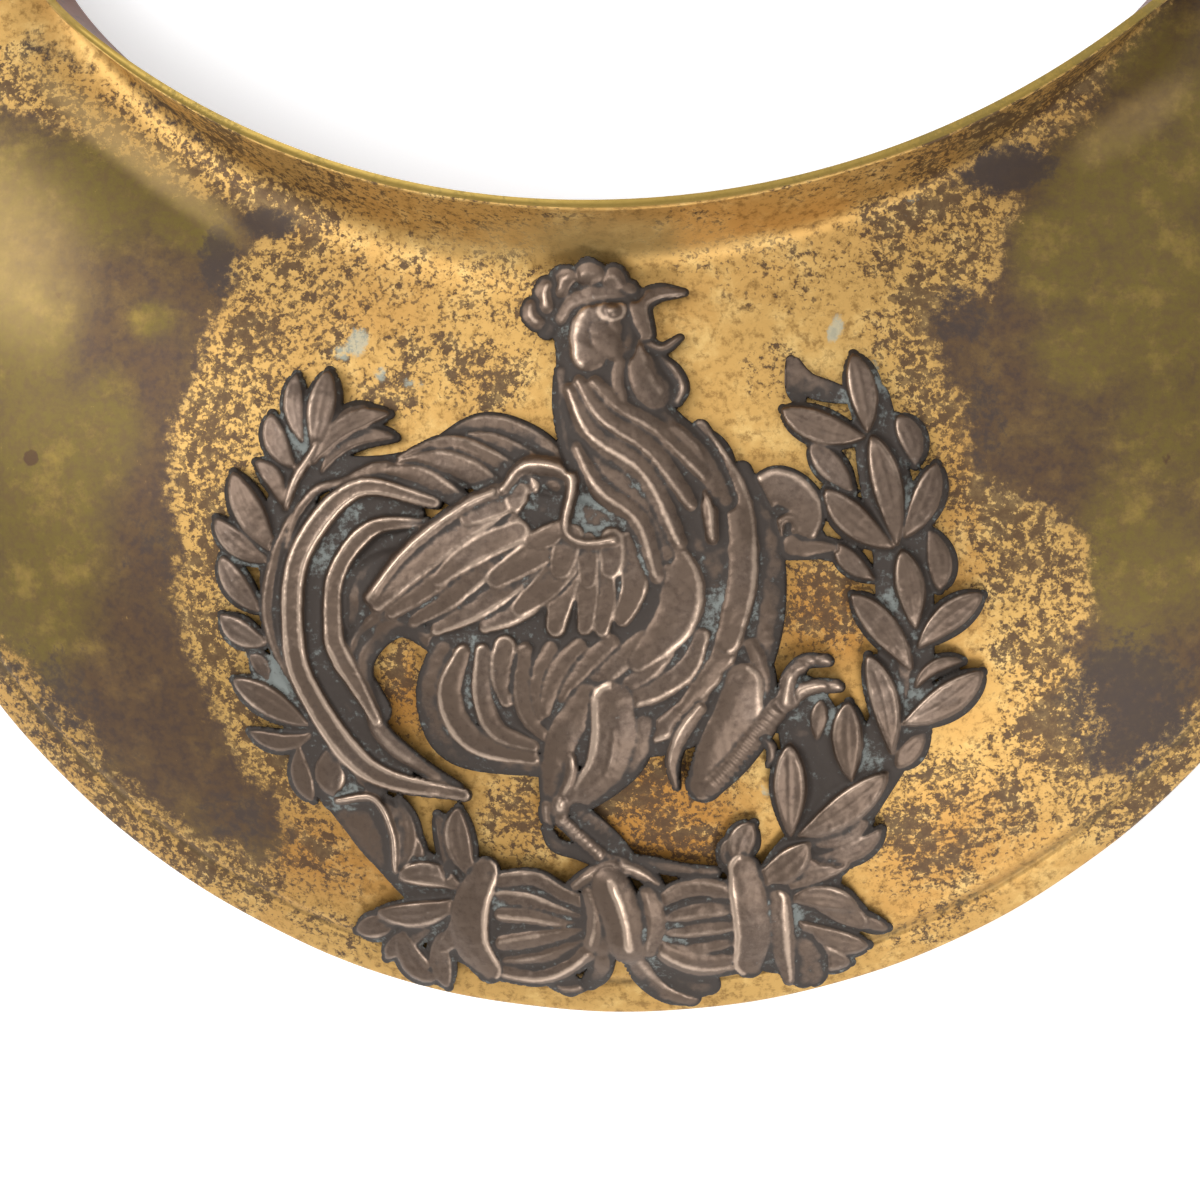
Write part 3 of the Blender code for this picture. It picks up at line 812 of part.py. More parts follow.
def main():
    for made in list(bpy.data.objects):
        bpy.data.objects.remove(made, do_unlink=True)
    scene = bpy.context.scene
    parts = bpy.data.collections.new("gorget")
    tools = bpy.data.collections.new("cutters")
    scene.collection.children.link(parts)
    scene.collection.children.link(tools)

    plate = add_object("plate", plate_mesh(), parts)
    clean(plate.data)

    badge = add_object("badge", badge_mesh(badge_relief(BADGE_PITCH / BADGE_WIDTH * 1000.0)), parts)
    clean(badge.data)
    slim = badge.modifiers.new("slim", "DECIMATE")
    badge.data.calc_loop_triangles()
    slim.ratio = BADGE_TRIANGLES / len(badge.data.loop_triangles)
    apply_all(badge)
    clean(badge.data)

    for i, (right, up) in enumerate(POSTS):
        x = BADGE_LEFT + right * BADGE_WIDTH
        y = BADGE_BOTTOM + up * BADGE_WIDTH
        z = float(dome_height(x, y))
        around = np.linspace(0.0, 2.0 * math.pi, 24)
        ring_x = x + POST_HEAD_RADIUS * np.cos(around)
        ring_y = y + POST_HEAD_RADIUS * np.sin(around)
        under = dome_height(ring_x, ring_y) - SHEET * steepness(ring_x, ring_y)
        head_top = float(under.min()) - POST_HEAD_GAP
        post_top = z + BADGE_GAP + BADGE_GROUND * 0.7
        post = turned("post_%d" % (i + 1), (
            (0.0, head_top - POST_HEAD_THICKNESS),
            (POST_HEAD_RADIUS, head_top - POST_HEAD_THICKNESS),
            (POST_HEAD_RADIUS, head_top), (POST_RADIUS, head_top),
            (POST_RADIUS, post_top), (0.0, post_top)), POST_SIDES, tools)
        post.location = (x, y, 0.0)
        combine(badge, post, "UNION")
        hole = cylinder("post_hole_%d" % (i + 1), POST_RADIUS + POST_CLEARANCE,
                        z - HOLE_REACH, z + HOLE_REACH, POST_SIDES * 2, tools)
        hole.location = (x, y, 0.0)
        combine(plate, hole, "DIFFERENCE")

    studs = []
    for name, side in (("stud_left", -1.0), ("stud_right", 1.0)):
        frame = stud_frame(side)
        foot_top = -SHEET - STUD_GAP
        stud = turned(name, (
            (0.0, foot_top - STUD_FOOT_THICKNESS), (STUD_FOOT_RADIUS, foot_top - STUD_FOOT_THICKNESS),
            (STUD_FOOT_RADIUS, foot_top), (STUD_SHANK_RADIUS, foot_top),
            (STUD_SHANK_RADIUS, STUD_NECK), (STUD_HEAD_RADIUS, STUD_NECK + STUD_HEAD_THICKNESS * 0.35),
            (STUD_HEAD_RADIUS, STUD_NECK + STUD_HEAD_THICKNESS * 0.75),
            (STUD_HEAD_RADIUS * 0.86, STUD_NECK + STUD_HEAD_THICKNESS),
            (0.0, STUD_NECK + STUD_HEAD_THICKNESS)), STUD_SIDES, parts)
        stud.matrix_world = frame
        studs.append(stud)
        hole = cylinder(name + "_hole", STUD_SHANK_RADIUS + STUD_GAP, -HOLE_REACH, HOLE_REACH,
                        STUD_SIDES, tools)
        hole.matrix_world = frame
        combine(plate, hole, "DIFFERENCE")

    bpy.context.view_layer.update()
    for made in tools.objects:
        made.hide_render = True
        made.display_type = "WIRE"

    low = Vector((1e9, 1e9, 1e9))
    high = -low
    for v in plate.data.vertices:
        for k in range(3):
            low[k] = min(low[k], v.co[k])
            high[k] = max(high[k], v.co[k])
    shift = Vector((-(low.x + high.x) / 2.0, -(low.y + high.y) / 2.0, -low.z))
    for made in list(parts.objects) + list(tools.objects):
        made.matrix_world = Matrix.Translation(shift) @ made.matrix_world

    brass = material("gilt_brass", (0.62, 0.40, 0.13), 0.32, 1.0)
    silver = material("tarnished_silver", (0.20, 0.155, 0.13), 0.38, 1.0)
    stud_brass = material("stud_brass", (0.60, 0.42, 0.17), 0.35, 1.0)
    plate.data.materials.append(brass)
    badge.data.materials.append(silver)
    for stud in studs:
        stud.data.materials.append(stud_brass)
    for made in parts.objects:
        for face in made.data.polygons:
            face.use_smooth = True


if __name__ == "__main__":
    main()
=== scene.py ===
"""Looks of the gorget: a worn gilt plate with a tarnished silver badge, laid on a pale floor."""

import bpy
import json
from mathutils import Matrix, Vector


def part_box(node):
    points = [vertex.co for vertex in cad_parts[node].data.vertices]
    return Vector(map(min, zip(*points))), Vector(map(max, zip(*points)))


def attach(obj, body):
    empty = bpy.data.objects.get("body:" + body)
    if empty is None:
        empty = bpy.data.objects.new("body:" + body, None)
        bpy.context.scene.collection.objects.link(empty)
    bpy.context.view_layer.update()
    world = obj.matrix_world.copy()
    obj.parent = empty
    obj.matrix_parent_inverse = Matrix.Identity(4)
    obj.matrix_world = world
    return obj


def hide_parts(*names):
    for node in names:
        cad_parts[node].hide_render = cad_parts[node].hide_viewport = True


bl_info = {
    "name": "Gilt gorget",
    "version": (1, 0, 0),
    "blender": (4, 5, 0),
    "location": "3D View > Sidebar > Gorget",
    "description": "Builds the visible gorget, its surfaces and a plain stage around the packed part",
    "category": "Object",
}

import json
import math

import bpy
import numpy as np
from mathutils import Matrix, Vector

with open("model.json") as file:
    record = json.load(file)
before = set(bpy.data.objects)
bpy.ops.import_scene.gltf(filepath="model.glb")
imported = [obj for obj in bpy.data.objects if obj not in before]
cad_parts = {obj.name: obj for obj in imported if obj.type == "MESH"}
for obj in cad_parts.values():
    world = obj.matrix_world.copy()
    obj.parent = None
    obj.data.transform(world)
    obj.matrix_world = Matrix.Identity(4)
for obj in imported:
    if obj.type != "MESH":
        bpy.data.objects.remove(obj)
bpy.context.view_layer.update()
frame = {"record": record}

MM = 0.001

# Outline of the plate, seen from the front, as in the part
OUTER_RADIUS = 67.7 * MM
TIP_ANGLE = 113.0
NECK_RADIUS = 71.9 * MM
NECK_CENTRE_UP = 71.75 * MM
NECK_ARC = 50.0 * MM
NECK_TURN_RADIUS = 20.0 * MM
NECK_TURN_ARC = 9.0 * MM
NECK_TURN_BLEND = 4.0 * MM
TIP_ROUND = 5.5 * MM
TIP_START = 1.0 - TIP_ROUND / (OUTER_RADIUS * math.radians(TIP_ANGLE))
TIP_CLOSING = 0.9

# Form of the sheet, as in the part
SHEET = 0.8 * MM
DOME_RISE = 15.0 * MM
DOME_SPAN = 59.0 * MM
DOME_FULLNESS = 3.4
DOME_NARROWING = 0.62
DOME_SAG = 0.05
EDGE_ARCH = 3.0 * MM
FLANGE_HEIGHT = 7.6 * MM
FLANGE_TIP_HEIGHT = 0.7 * MM
FLARE_MIDDLE = 4.2 * MM
FLARE_HORN = -0.9 * MM
FILLET_RISE = 0.3
BORDER_FULL_SPAN = 16.0 * MM
SLOPE_STEP = 0.05 * MM

# Soft bend at the foot of the flange, wider than in the part, and its share at the horn tips
FILLET_REACH = 3.4 * MM
FILLET_TIP_SHARE = 0.35
FLANGE_FADE_START = 0.8
NARROWEST_BORDER = 0.3

# Fineness of the plate: points of the guide lines, rows of the bend, flange and rounded edges,
# stations of a rounded horn end, and the turns of the columns that close it
NECK_STEPS = 600
NECK_POINTS = 240
FOLD_POINTS = 60
BEND_ROWS = 9
FLANGE_ROWS = 13
EDGE_ROWS = 4
TIP_STATIONS = 14
END_COLUMNS = (0.2, 0.4, 0.6, 0.8, 1.0)
EDGE_ROUNDING = 0.16 * MM

# Marks that stand for a distance from the outer edge in the bend, the flange and the rounded edges
BEND_MARK = 100.0
FLANGE_MARK = 101.0
EDGE_MARK = 200.0

# Middle and half width of the dark line in the groove, in millimetres from the outer edge
GROOVE_PLACE = 2.68
GROOVE_WIDTH = 0.28

# Soft waves of the sheet: size across, shift, size upwards and shift, in millimetres and radians
WAVES = ((4.1, 0.3, 5.3, 1.1), (2.3, 2.0, 2.9, 0.2), (7.7, 1.2, 6.1, 2.7))

# Guards against a division by nothing, and a distance that every other is below
TINY = 1e-9
LEAST_SPAN = 1e-6
LEAST_LENGTH = 1e-12
FAR_AWAY = 1e9

# Place of the badge, as in the part, and its height over the plate
BADGE_WIDTH = 65.0 * MM
UNIT = BADGE_WIDTH / 1000.0
BADGE_LEFT = -32.6 * MM
BADGE_BOTTOM = -66.8 * MM
BADGE_GAP = 0.3 * MM
BADGE_GROUND = 0.5 * MM

# Drawing area of the badge, in thousandths of its width
GRID_WIDTH = 1000.0
GRID_TALL = 978.0
GRID_MARGIN = 14.0
FAR_OUTSIDE = -50.0
SNAP_SHARE = 0.75

# Level of the plain ground against the swellings, and the soft bed that each leaf stands on
GROUND_LEVEL = -0.05
LEAF_SKIRT = 5.0

# Points along a swelling and a stroke, for each piece between two of its stated places
SWELLING_STEPS = 9
STROKE_STEPS = 12

# Place and width of the raised lip of a leaf or feather and width of a ridge, as shares of the half
# width, and the height at which a ridge gets the full bright colour of wear with its painted highlight
LIP_PLACE = 0.8
LIP_WIDTH = 0.13
RIDGE_WIDTH = 0.2
WEAR_AND_HIGHLIGHT_RIDGE = 0.4

# Section of a leaf: hollow, rise towards the edge, lip and middle vein; its rise towards the tip,
# and the height and spacing of its side veins
LEAF_HOLLOW = 0.56
LEAF_DISH = 0.16
LEAF_LIP = 0.26
LEAF_VEIN = 0.18
LEAF_TIP_RISE = 0.3
SIDE_VEINS = 0.025
SIDE_VEIN_SPACING = 11.0

# Softness of the swellings, and shares of the fine and the broad softening of the drawing
BASE_SOFTNESS = 9.0
BROAD_TIMES = 3.0
FINE_SHARE = 0.6
BROAD_SHARE = 0.4

# Reaches over which a ridge or a recess is told from its surroundings, and the width of the rim,
# the band along the outline of the badge that is painted dark as shade at the foot of the relief
FINE_REACH = 7.0
BROAD_REACH = 24.0
RIM_WIDTH = 7.0

# Half width of the ragged edge of a tarnished area, and the belt of specks along its outside:
# amount, place and width, in millimetres
AREA_EDGE = 3.2
BELT_AMOUNT = 0.9
BELT_PLACE = -1.5
BELT_WIDTH = 3.0

# The back of the sheet reaches this far below the lowest edge of its front
PLATE_LOW = 0.617 * MM

# Place of the outline circle's centre, at the height of the lowest edge, in the row frame
LOW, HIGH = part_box("plate")
CENTRE = Vector(((LOW[0] + HIGH[0]) / 2.0, LOW[1] + OUTER_RADIUS, LOW[2] + PLATE_LOW))

# Camera: direction of view, distance and width of the picture at the height of the badge
VIEW_TILT = 6.0
VIEW_DISTANCE = 650.0 * MM
VIEW_WIDTH = 100.84 * MM
AIM = Vector((-0.53 * MM, -32.46 * MM, 12.0 * MM))
SENSOR = 36.0
NEAREST = 0.01

# Stage: half width of the floor, place that the lights face, and for each light its name, its place,
# its width and the setting of its power, in metres
FLOOR_HALF = 1.5
LIGHT_AIM = Vector((0.0, 0.0, 0.01))
LIGHTS = (
    ("key_light", (-0.5, 0.08, 0.55), 0.45, "key"),
    ("upper_light", (0.0, 0.15, 1.1), 0.8, "top"),
    ("side_light", (0.3, -0.6, 0.45), 0.4, "fill"),
)

# Leaves of the wreath, low ones first: tip right, tip up, base right, base up, half width, bend,
# level, crown height. The drawing of the badge is laid out in thousandths of its width, from its left
# edge and its bottom; levels and crowns are shares of the relief's height.
LEAVES = (
    (159, 94, 219, 108, 15.1, 0, 0.05, 0.5),
    (195, 57, 261, 96, 13.7, 0.1, 0, 0.5),
    (259, 28, 221, 96, 17.8, 0.15, 0.1, 0.6),
    (275, 19, 278, 96, 14.9, 0.1, 0.05, 0.55),
    (268, 69, 290, 117, 10.9, -0.2, 0.1, 0.5),
    (191, 120, 305, 138, 16.3, -0.1, 0.25, 0.7),
    (223, 166, 308, 150, 16.1, 0.15, 0.2, 0.7),
    (260, 195, 216, 269, 16, 0.1, 0.05, 0.45),
    (280, 250, 287, 164, 11.9, 0.1, 0.05, 0.4),
    (309, 259, 325, 164, 17.1, -0.1, 0.3, 0.6),
    (115, 268, 103, 336, 13.4, 0.1, 0, 0.45),
    (206, 269, 150, 334, 14.6, -0.1, 0.05, 0.4),
    (226, 179, 230, 269, 13.4, -0.12, 0, 0.45),
    (144, 275, 139, 334, 20, 0, 0.15, 0.4),
    (36, 358, 120, 355, 10.7, -0.15, 0.1, 0.5),
    (19, 425, 117, 366, 18.6, 0, 0.3, 0.7),
    (44, 458, 65, 422, 10.6, 0.1, 0.05, 0.4),
    (7, 509, 68, 473, 15.9, -0.1, 0.25, 0.65),
    (10, 585, 61, 514, 15.8, -0.08, 0.25, 0.65),
    (3, 634, 74, 579, 15.8, -0.1, 0.2, 0.65),
    (57, 706, 90, 652, 11.8, 0.15, 0.15, 0.55),
    (27, 693, 84, 589, 19.6, -0.05, 0.35, 0.7),
    (240, 737, 144, 692, 10.4, -0.2, 0.1, 0.5),
    (205, 777, 152, 722, 11.7, -0.12, 0.15, 0.55),
    (232, 767, 134, 704, 13, -0.15, 0.3, 0.7),
    (78, 768, 110, 698, 15.7, -0.12, 0.1, 0.55),
    (110, 818, 120, 731, 13, -0.08, 0.15, 0.55),
    (153, 823, 135, 722, 18.2, 0, 0.35, 0.75),
    (857, 101, 804, 132, 7.9, 0.1, 0, 0.35),
    (831, 78, 745, 109, 15.8, 0.1, 0.1, 0.55),
    (807, 55, 731, 89, 15.9, 0.1, 0.1, 0.55),
    (830, 101, 762, 132, 17.1, -0.12, 0.1, 0.5),
    (821, 128, 734, 139, 15.7, -0.1, 0.2, 0.6),
    (812, 186, 715, 148, 18.2, -0.1, 0.2, 0.65),
    (855, 232, 765, 196, 11.7, 0.15, 0.05, 0.5),
    (840, 244, 758, 214, 11.7, 0.1, 0.1, 0.5),
    (663, 221, 678, 172, 13, -0.2, 0.1, 0.5),
    (692, 240, 669, 181, 16.9, -0.1, 0.15, 0.6),
    (762, 214, 686, 159, 19.5, 0.08, 0.35, 0.75),
    (864, 304, 749, 223, 20.6, 0.05, 0.35, 0.8),
    (878, 313, 917, 359, 12.9, 0, 0, 0.4),
    (784, 400, 777, 351, 10.3, 0, 0.1, 0.5),
    (742, 342, 739, 223, 20.6, 0, 0.4, 0.8),
    (819, 397, 820, 296, 19.2, -0.04, 0.3, 0.7),
    (964, 450, 905, 417, 7.7, -0.15, 0.15, 0.6),
    (989, 436, 888, 369, 20.4, 0.05, 0.35, 0.75),
    (845, 457, 872, 333, 17.9, 0.06, 0.35, 0.75),
    (889, 523, 892, 400, 10.2, 0, 0, 0.3),
    (991, 535, 910, 469, 17.8, -0.04, 0.35, 0.75),
    (826, 535, 900, 441, 19.1, 0.04, 0.35, 0.75),
    (936, 541, 924, 618, 15.3, -0.1, 0.1, 0.55),
    (805, 600, 853, 555, 12.7, -0.05, 0.25, 0.65),
    (890, 591, 906, 492, 17.8, 0.03, 0.4, 0.75),
    (794, 669, 879, 596, 20.4, -0.06, 0.35, 0.75),
    (934, 702, 894, 609, 17.8, 0.06, 0.35, 0.75),
    (775, 727, 828, 667, 16.5, 0, 0.2, 0.55),
    (884, 762, 907, 700, 15.3, 0.12, 0.1, 0.5),
    (853, 737, 884, 600, 19.1, 0.04, 0.45, 0.8),
    (739, 772, 844, 736, 20.4, -0.06, 0.35, 0.75),
    (828, 842, 847, 743, 17.9, 0.04, 0.4, 0.8),
)

# Cock: name, four places along a stroke, three half widths, level, crown, tilt, ridge place, ridge height
# The ridge columns also set the bright colour along the ridge: wear together with a painted highlight
COCK = (
    ("tail outer", 115, 650, 85, 593, 69, 502, 109, 396, 6.5, 10.5, 5.2, 0.05, 0.35, 0, 0.3, 0.35),
    ("tail crown", 296, 658, 262, 685, 221, 698, 173, 680, 7.8, 12.9, 6.5, 0.05, 0.4, 0, 0.5, 0.3),
    ("tail crown end", 176, 680, 139, 670, 112, 638, 98, 595, 6.5, 7.8, 5.2, 0.1, 0.35, 0, 0, 0.3),
    ("inner plume", 238, 585, 209, 572, 187, 544, 180, 500, 9.1, 14.3, 7.8, 0.05, 0.35, 0, 0.3, 0.2),
    ("inner plume 2", 251, 518, 217, 505, 187, 477, 175, 432, 7.8, 11.7, 6.5, 0.1, 0.35, 0, 0.4, 0.25),
    ("loop", 305, 461, 241, 495, 194, 451, 204, 384, 11.7, 15.6, 11.7, 0.05, 0.4, 0, 0.2, 0.2),
    ("loop end", 204, 391, 219, 350, 262, 314, 310, 285, 11.8, 13.2, 7.9, 0.05, 0.35, 0, 0, 0.1),
    ("sickle b", 280, 628, 209, 619, 162, 560, 156, 487, 7.8, 14.3, 14.3, 0.2, 0.45, 0, 0.6, 0.4),
    ("sickle b end", 156, 495, 164, 457, 185, 419, 209, 373, 14.4, 17, 7.9, 0.2, 0.45, 0, 0.6, 0.4),
    ("sickle a", 293, 653, 192, 671, 117, 590, 103, 487, 9.1, 16.9, 16.9, 0.3, 0.5, 0, 0.62, 0.45),
    ("sickle a end", 103, 495, 121, 409, 195, 308, 318, 276, 17.1, 19.8, 9.2, 0.3, 0.5, 0, 0.62, 0.4),
    ("saddle a", 470, 689, 416, 735, 353, 754, 289, 726, 15.4, 16.7, 6.4, 0.15, 0.45, 0, 0.6, 0.35),
    ("saddle b", 454, 679, 403, 714, 348, 733, 279, 718, 16.7, 16.7, 6.4, 0.25, 0.45, 0, 0.6, 0.35),
    ("saddle c", 416, 674, 370, 705, 312, 728, 247, 710, 16.7, 16.7, 5.1, 0.35, 0.45, 0, 0.6, 0.4),
    ("saddle d", 377, 669, 338, 695, 299, 708, 249, 703, 16.8, 18, 7.7, 0.4, 0.4, 0, 0.6, 0.3),
    ("saddle e", 327, 656, 301, 674, 273, 690, 236, 695, 12.9, 15.5, 7.7, 0.25, 0.4, 0, 0.5, 0.3),
    ("far wing", 697, 650, 733, 674, 769, 646, 761, 599, 20.4, 26.7, 15.3, 0.05, 0.45, 0, -0.7, 0.3),
    ("far wing curl", 734, 613, 737, 629, 752, 633, 759, 620, 5.1, 6.4, 3.8, 0.42, 0.25, 0, 0, 0.2),
    ("far wing link", 750, 599, 768, 595, 786, 596, 804, 595, 15.3, 11.5, 6.4, 0, 0.35, 0, 0, 0),
    ("breast edge", 687, 694, 720, 605, 721, 503, 693, 400, 12.7, 17.8, 14, -0.05, 0.3, 0, 0, 0),
    ("breast fold", 651, 595, 655, 539, 639, 477, 594, 426, 10.2, 15.3, 10.2, 0, 0.3, 0, 0.2, 0.2),
    ("body sheet", 621, 694, 633, 579, 579, 464, 487, 393, 58.7, 71.5, 30.7, 0.04, 0.08, 0, 0, 0),
    ("belly 5", 440, 467, 424, 436, 418, 410, 424, 379, 11.6, 14.2, 7.8, 0.1, 0.3, 0, 0.4, 0.2),
    ("belly 4", 477, 469, 453, 444, 439, 415, 432, 384, 12.9, 14.2, 7.7, 0.12, 0.3, 0, 0.4, 0.2),
    ("belly 3", 518, 474, 492, 449, 473, 426, 456, 400, 14.2, 15.5, 9, 0.14, 0.3, 0, -0.4, 0.2),
    ("belly 2", 561, 477, 528, 446, 496, 418, 461, 395, 14.2, 16.7, 9, 0.16, 0.3, 0, -0.5, 0.25),
    ("belly 1", 590, 464, 561, 431, 524, 405, 484, 387, 14.1, 16.7, 9, 0.18, 0.32, 0, -0.5, 0.25),
    ("breast 6", 636, 482, 617, 441, 578, 413, 523, 392, 11.6, 16.7, 9, 0.2, 0.35, 0, -0.6, 0.35),
    ("breast 8", 635, 413, 608, 382, 579, 361, 540, 351, 12.9, 16.7, 7.7, 0.2, 0.4, 0, -0.7, 0.4),
    ("breast 5", 592, 595, 612, 544, 598, 495, 553, 449, 21.7, 29.4, 14.1, 0.22, 0.34, 0, -0.78, 0.35),
    ("breast 2", 671, 485, 659, 451, 637, 421, 608, 390, 17.9, 16.7, 9, 0.25, 0.4, 0, -0.7, 0.35),
    ("breast 1", 634, 748, 682, 658, 689, 559, 669, 475, 11.5, 19.1, 17.8, 0.25, 0.4, 0, -0.72, 0.35),
    ("breast 3", 606, 720, 634, 684, 646, 650, 650, 607, 6.4, 11.5, 7.7, 0.4, 0.45, 0, -0.1, 0.45),
    ("flank rim", 297, 467, 279, 399, 310, 335, 422, 314, 15.7, 19.6, 14.4, -0.05, 0.32, 0, 0, 0),
    ("flank 1", 326, 461, 306, 405, 334, 348, 412, 325, 11.7, 19.5, 10.4, 0.1, 0.42, 0, 0.72, 0.5),
    ("flank 2", 352, 462, 350, 405, 366, 361, 414, 340, 11.7, 15.6, 9.1, 0.2, 0.4, 0, 0.65, 0.4),
    ("flank 3", 381, 469, 377, 436, 379, 413, 381, 400, 15.5, 16.8, 10.4, 0.25, 0.36, 0, 0, 0),
    ("flank 4", 407, 464, 400, 413, 409, 376, 431, 351, 11.7, 14.2, 7.8, 0.1, 0.32, 0, 0.5, 0.25),
    ("wing sheet", 520, 585, 428, 595, 317, 572, 228, 526, 51.4, 66.8, 25.7, 0.3, 0.1, 0, 0, 0),
    ("primary 5", 461, 556, 421, 528, 390, 508, 356, 494, 16.7, 16.7, 9, 0.42, 0.34, 0, -0.68, 0.4),
    ("primary 4", 434, 585, 385, 544, 338, 513, 293, 492, 18, 18, 10.3, 0.46, 0.34, 0, -0.68, 0.45),
    ("primary 3", 412, 605, 357, 567, 310, 528, 264, 501, 18.1, 16.8, 9, 0.5, 0.34, 0, -0.68, 0.4),
    ("primary 2", 392, 626, 329, 582, 281, 541, 236, 512, 18.1, 16.8, 9, 0.54, 0.34, 0, -0.68, 0.3),
    ("primary 1", 377, 646, 314, 605, 261, 564, 218, 524, 16.8, 19.4, 11.6, 0.6, 0.34, 0, -0.68, 0.35),
    ("secondary 4", 543, 599, 551, 556, 545, 528, 534, 505, 17.9, 19.2, 11.5, 0.3, 0.36, 0, 0, 0),
    ("secondary 3", 512, 572, 513, 531, 511, 510, 508, 492, 15.4, 15.4, 11.5, 0.38, 0.4, 0, 0, 0),
    ("secondary 2", 492, 569, 490, 531, 488, 510, 486, 494, 15.4, 15.4, 11.6, 0.42, 0.4, 0, 0, 0),
    ("secondary 1", 471, 585, 459, 541, 452, 513, 448, 494, 19.3, 19.3, 14.1, 0.46, 0.4, 0, 0, 0),
    ("covert 3", 461, 572, 440, 549, 419, 531, 403, 518, 20.6, 19.3, 12.9, 0.55, 0.38, 0, 0, 0),
    ("covert 2", 454, 605, 420, 585, 394, 569, 373, 556, 20.6, 20.6, 14.1, 0.62, 0.38, 0, 0, 0),
    ("covert 4", 402, 615, 366, 600, 331, 580, 297, 554, 16.7, 18, 9, 0.66, 0.3, 0, -0.6, 0.2),
    ("covert 7", 492, 602, 492, 579, 492, 564, 491, 553, 14.1, 15.4, 11.5, 0.58, 0.36, 0, 0, 0),
    ("covert 8", 523, 605, 523, 590, 523, 577, 521, 568, 16.6, 17.9, 14.1, 0.62, 0.36, 0, 0, 0),
    ("covert 6", 472, 610, 464, 592, 460, 579, 457, 569, 16.7, 19.2, 15.4, 0.66, 0.38, 0, 0, 0),
    ("covert 9", 454, 618, 443, 611, 430, 606, 420, 604, 12.8, 15.4, 10.3, 0.75, 0.36, 0, 0, 0),
    ("covert 1", 403, 661, 379, 652, 356, 642, 337, 633, 14.2, 18, 11.6, 0.74, 0.36, 0, 0, 0),
    ("covert 0", 403, 666, 400, 659, 399, 654, 399, 651, 14.1, 16.7, 11.6, 0.8, 0.36, 0, 0, 0),
    ("arm", 384, 672, 327, 646, 256, 592, 206, 531, 11.6, 10.3, 9, 0.84, 0.5, 0, 0, 0.55),
    ("shoulder", 382, 669, 413, 700, 470, 687, 464, 631, 9, 14.1, 9, 0.85, 0.55, 0, -0.1, 0.4),
    ("shoulder end", 464, 638, 467, 610, 490, 600, 526, 604, 9, 7.7, 7.7, 0.62, 0.45, 0, 0, 0.25),
    ("neck sheet", 502, 861, 508, 784, 542, 725, 588, 669, 46.2, 56.4, 51.3, 0.04, 0.08, 0, 0, 0),
    ("hackle 0", 454, 820, 454, 778, 459, 743, 472, 700, 9, 10.3, 9, 0.05, 0.3, 0, 0, 0.15),
    ("hackle 5", 564, 786, 598, 748, 636, 712, 667, 656, 15.3, 21.7, 15.3, 0, 0.3, 0, -0.4, 0.15),
    ("hackle 4", 500, 807, 534, 774, 583, 745, 639, 689, 9, 14.1, 10.2, 0.12, 0.34, 0, 0.3, 0.3),
    ("hackle 6", 601, 750, 616, 738, 629, 725, 639, 710, 6.4, 7.7, 3.8, 0.3, 0.25, 0, 0, 0.35),
    ("hackle 3", 480, 807, 513, 761, 572, 720, 623, 651, 9, 15.4, 10.2, 0.18, 0.36, 0, 0.35, 0.35),
    ("hackle 7", 475, 753, 508, 702, 559, 656, 592, 585, 11.5, 16.6, 11.5, 0.14, 0.3, 0, 0.2, 0.15),
    ("hackle 1", 467, 797, 495, 740, 565, 689, 608, 602, 10.3, 17.9, 11.5, 0.2, 0.4, 0, 0.1, 0.4),
    ("hackle 2", 478, 723, 506, 671, 557, 628, 579, 559, 10.2, 16.6, 12.8, 0.2, 0.4, 0, 0.1, 0.35),
    ("wattle right", 584, 838, 601, 820, 610, 799, 604, 782, 6.4, 10.2, 7.7, 0.1, 0.5, 0, -0.2, 0.4),
    ("wattle", 556, 848, 562, 825, 569, 807, 578, 795, 15.4, 23.1, 24.3, 0.3, 0.55, 0, -0.2, 0.2),
    ("ear", 542, 853, 533, 830, 531, 807, 538, 786, 7.7, 10.3, 6.4, 0.05, 0.34, 0, -0.3, 0.2),
    ("brow", 540, 917, 543, 899, 543, 876, 541, 848, 11.5, 12.8, 11.5, 0.04, 0.3, 0, 0, 0.05),
    ("lower beak", 563, 879, 569, 857, 586, 850, 607, 864, 7.7, 9, 5.1, 0.2, 0.55, 0, -0.1, 0.4),
    ("upper beak", 566, 868, 557, 904, 577, 921, 611, 922, 10.3, 14.1, 5.8, 0.34, 0.55, 0, 0.5, 0.4),
    ("face", 507, 894, 502, 874, 496, 858, 492, 844, 29.5, 36, 24.4, 0.2, 0.42, 0, 0.82, 0.4),
    ("cheek", 505, 874, 510, 863, 519, 854, 525, 845, 15.4, 18, 11.6, 0.36, 0.25, 0, 0, 0),
    ("socket", 516, 899, 518, 899, 522, 898, 526, 898, 14.1, 15.4, 14.1, 0.5, 0.16, 0, 0, 0),
    ("eye", 520, 899, 521, 899, 522, 898, 524, 898, 7.1, 7.7, 7.1, 0.66, 0.38, 0, 0, 0.2),
    ("comb back", 435, 874, 438, 892, 447, 907, 463, 918, 12.9, 16.8, 12.9, 0.05, 0.34, 0, 0, 0),
    ("comb band", 453, 889, 468, 910, 504, 921, 550, 921, 11.6, 14.2, 10.3, 0.08, 0.34, 0, 0.4, 0.15),
    ("comb f", 540, 930, 542, 929, 545, 927, 548, 925, 10.3, 11.5, 9, 0.16, 0.45, 0, 0, 0.1),
    ("comb e", 517, 942, 520, 943, 524, 943, 528, 940, 14.1, 16.7, 14.1, 0.34, 0.5, 0, 0.1, 0.15),
    ("comb d", 483, 946, 488, 948, 493, 948, 499, 947, 15.4, 19.3, 15.4, 0.4, 0.5, 0, 0.1, 0.15),
    ("comb c", 451, 929, 453, 936, 457, 941, 462, 943, 15.5, 18.1, 15.5, 0.42, 0.5, 0, 0.1, 0.2),
    ("comb b", 434, 905, 432, 915, 432, 924, 435, 931, 12.9, 15.5, 14.2, 0.36, 0.5, 0, 0.1, 0.35),
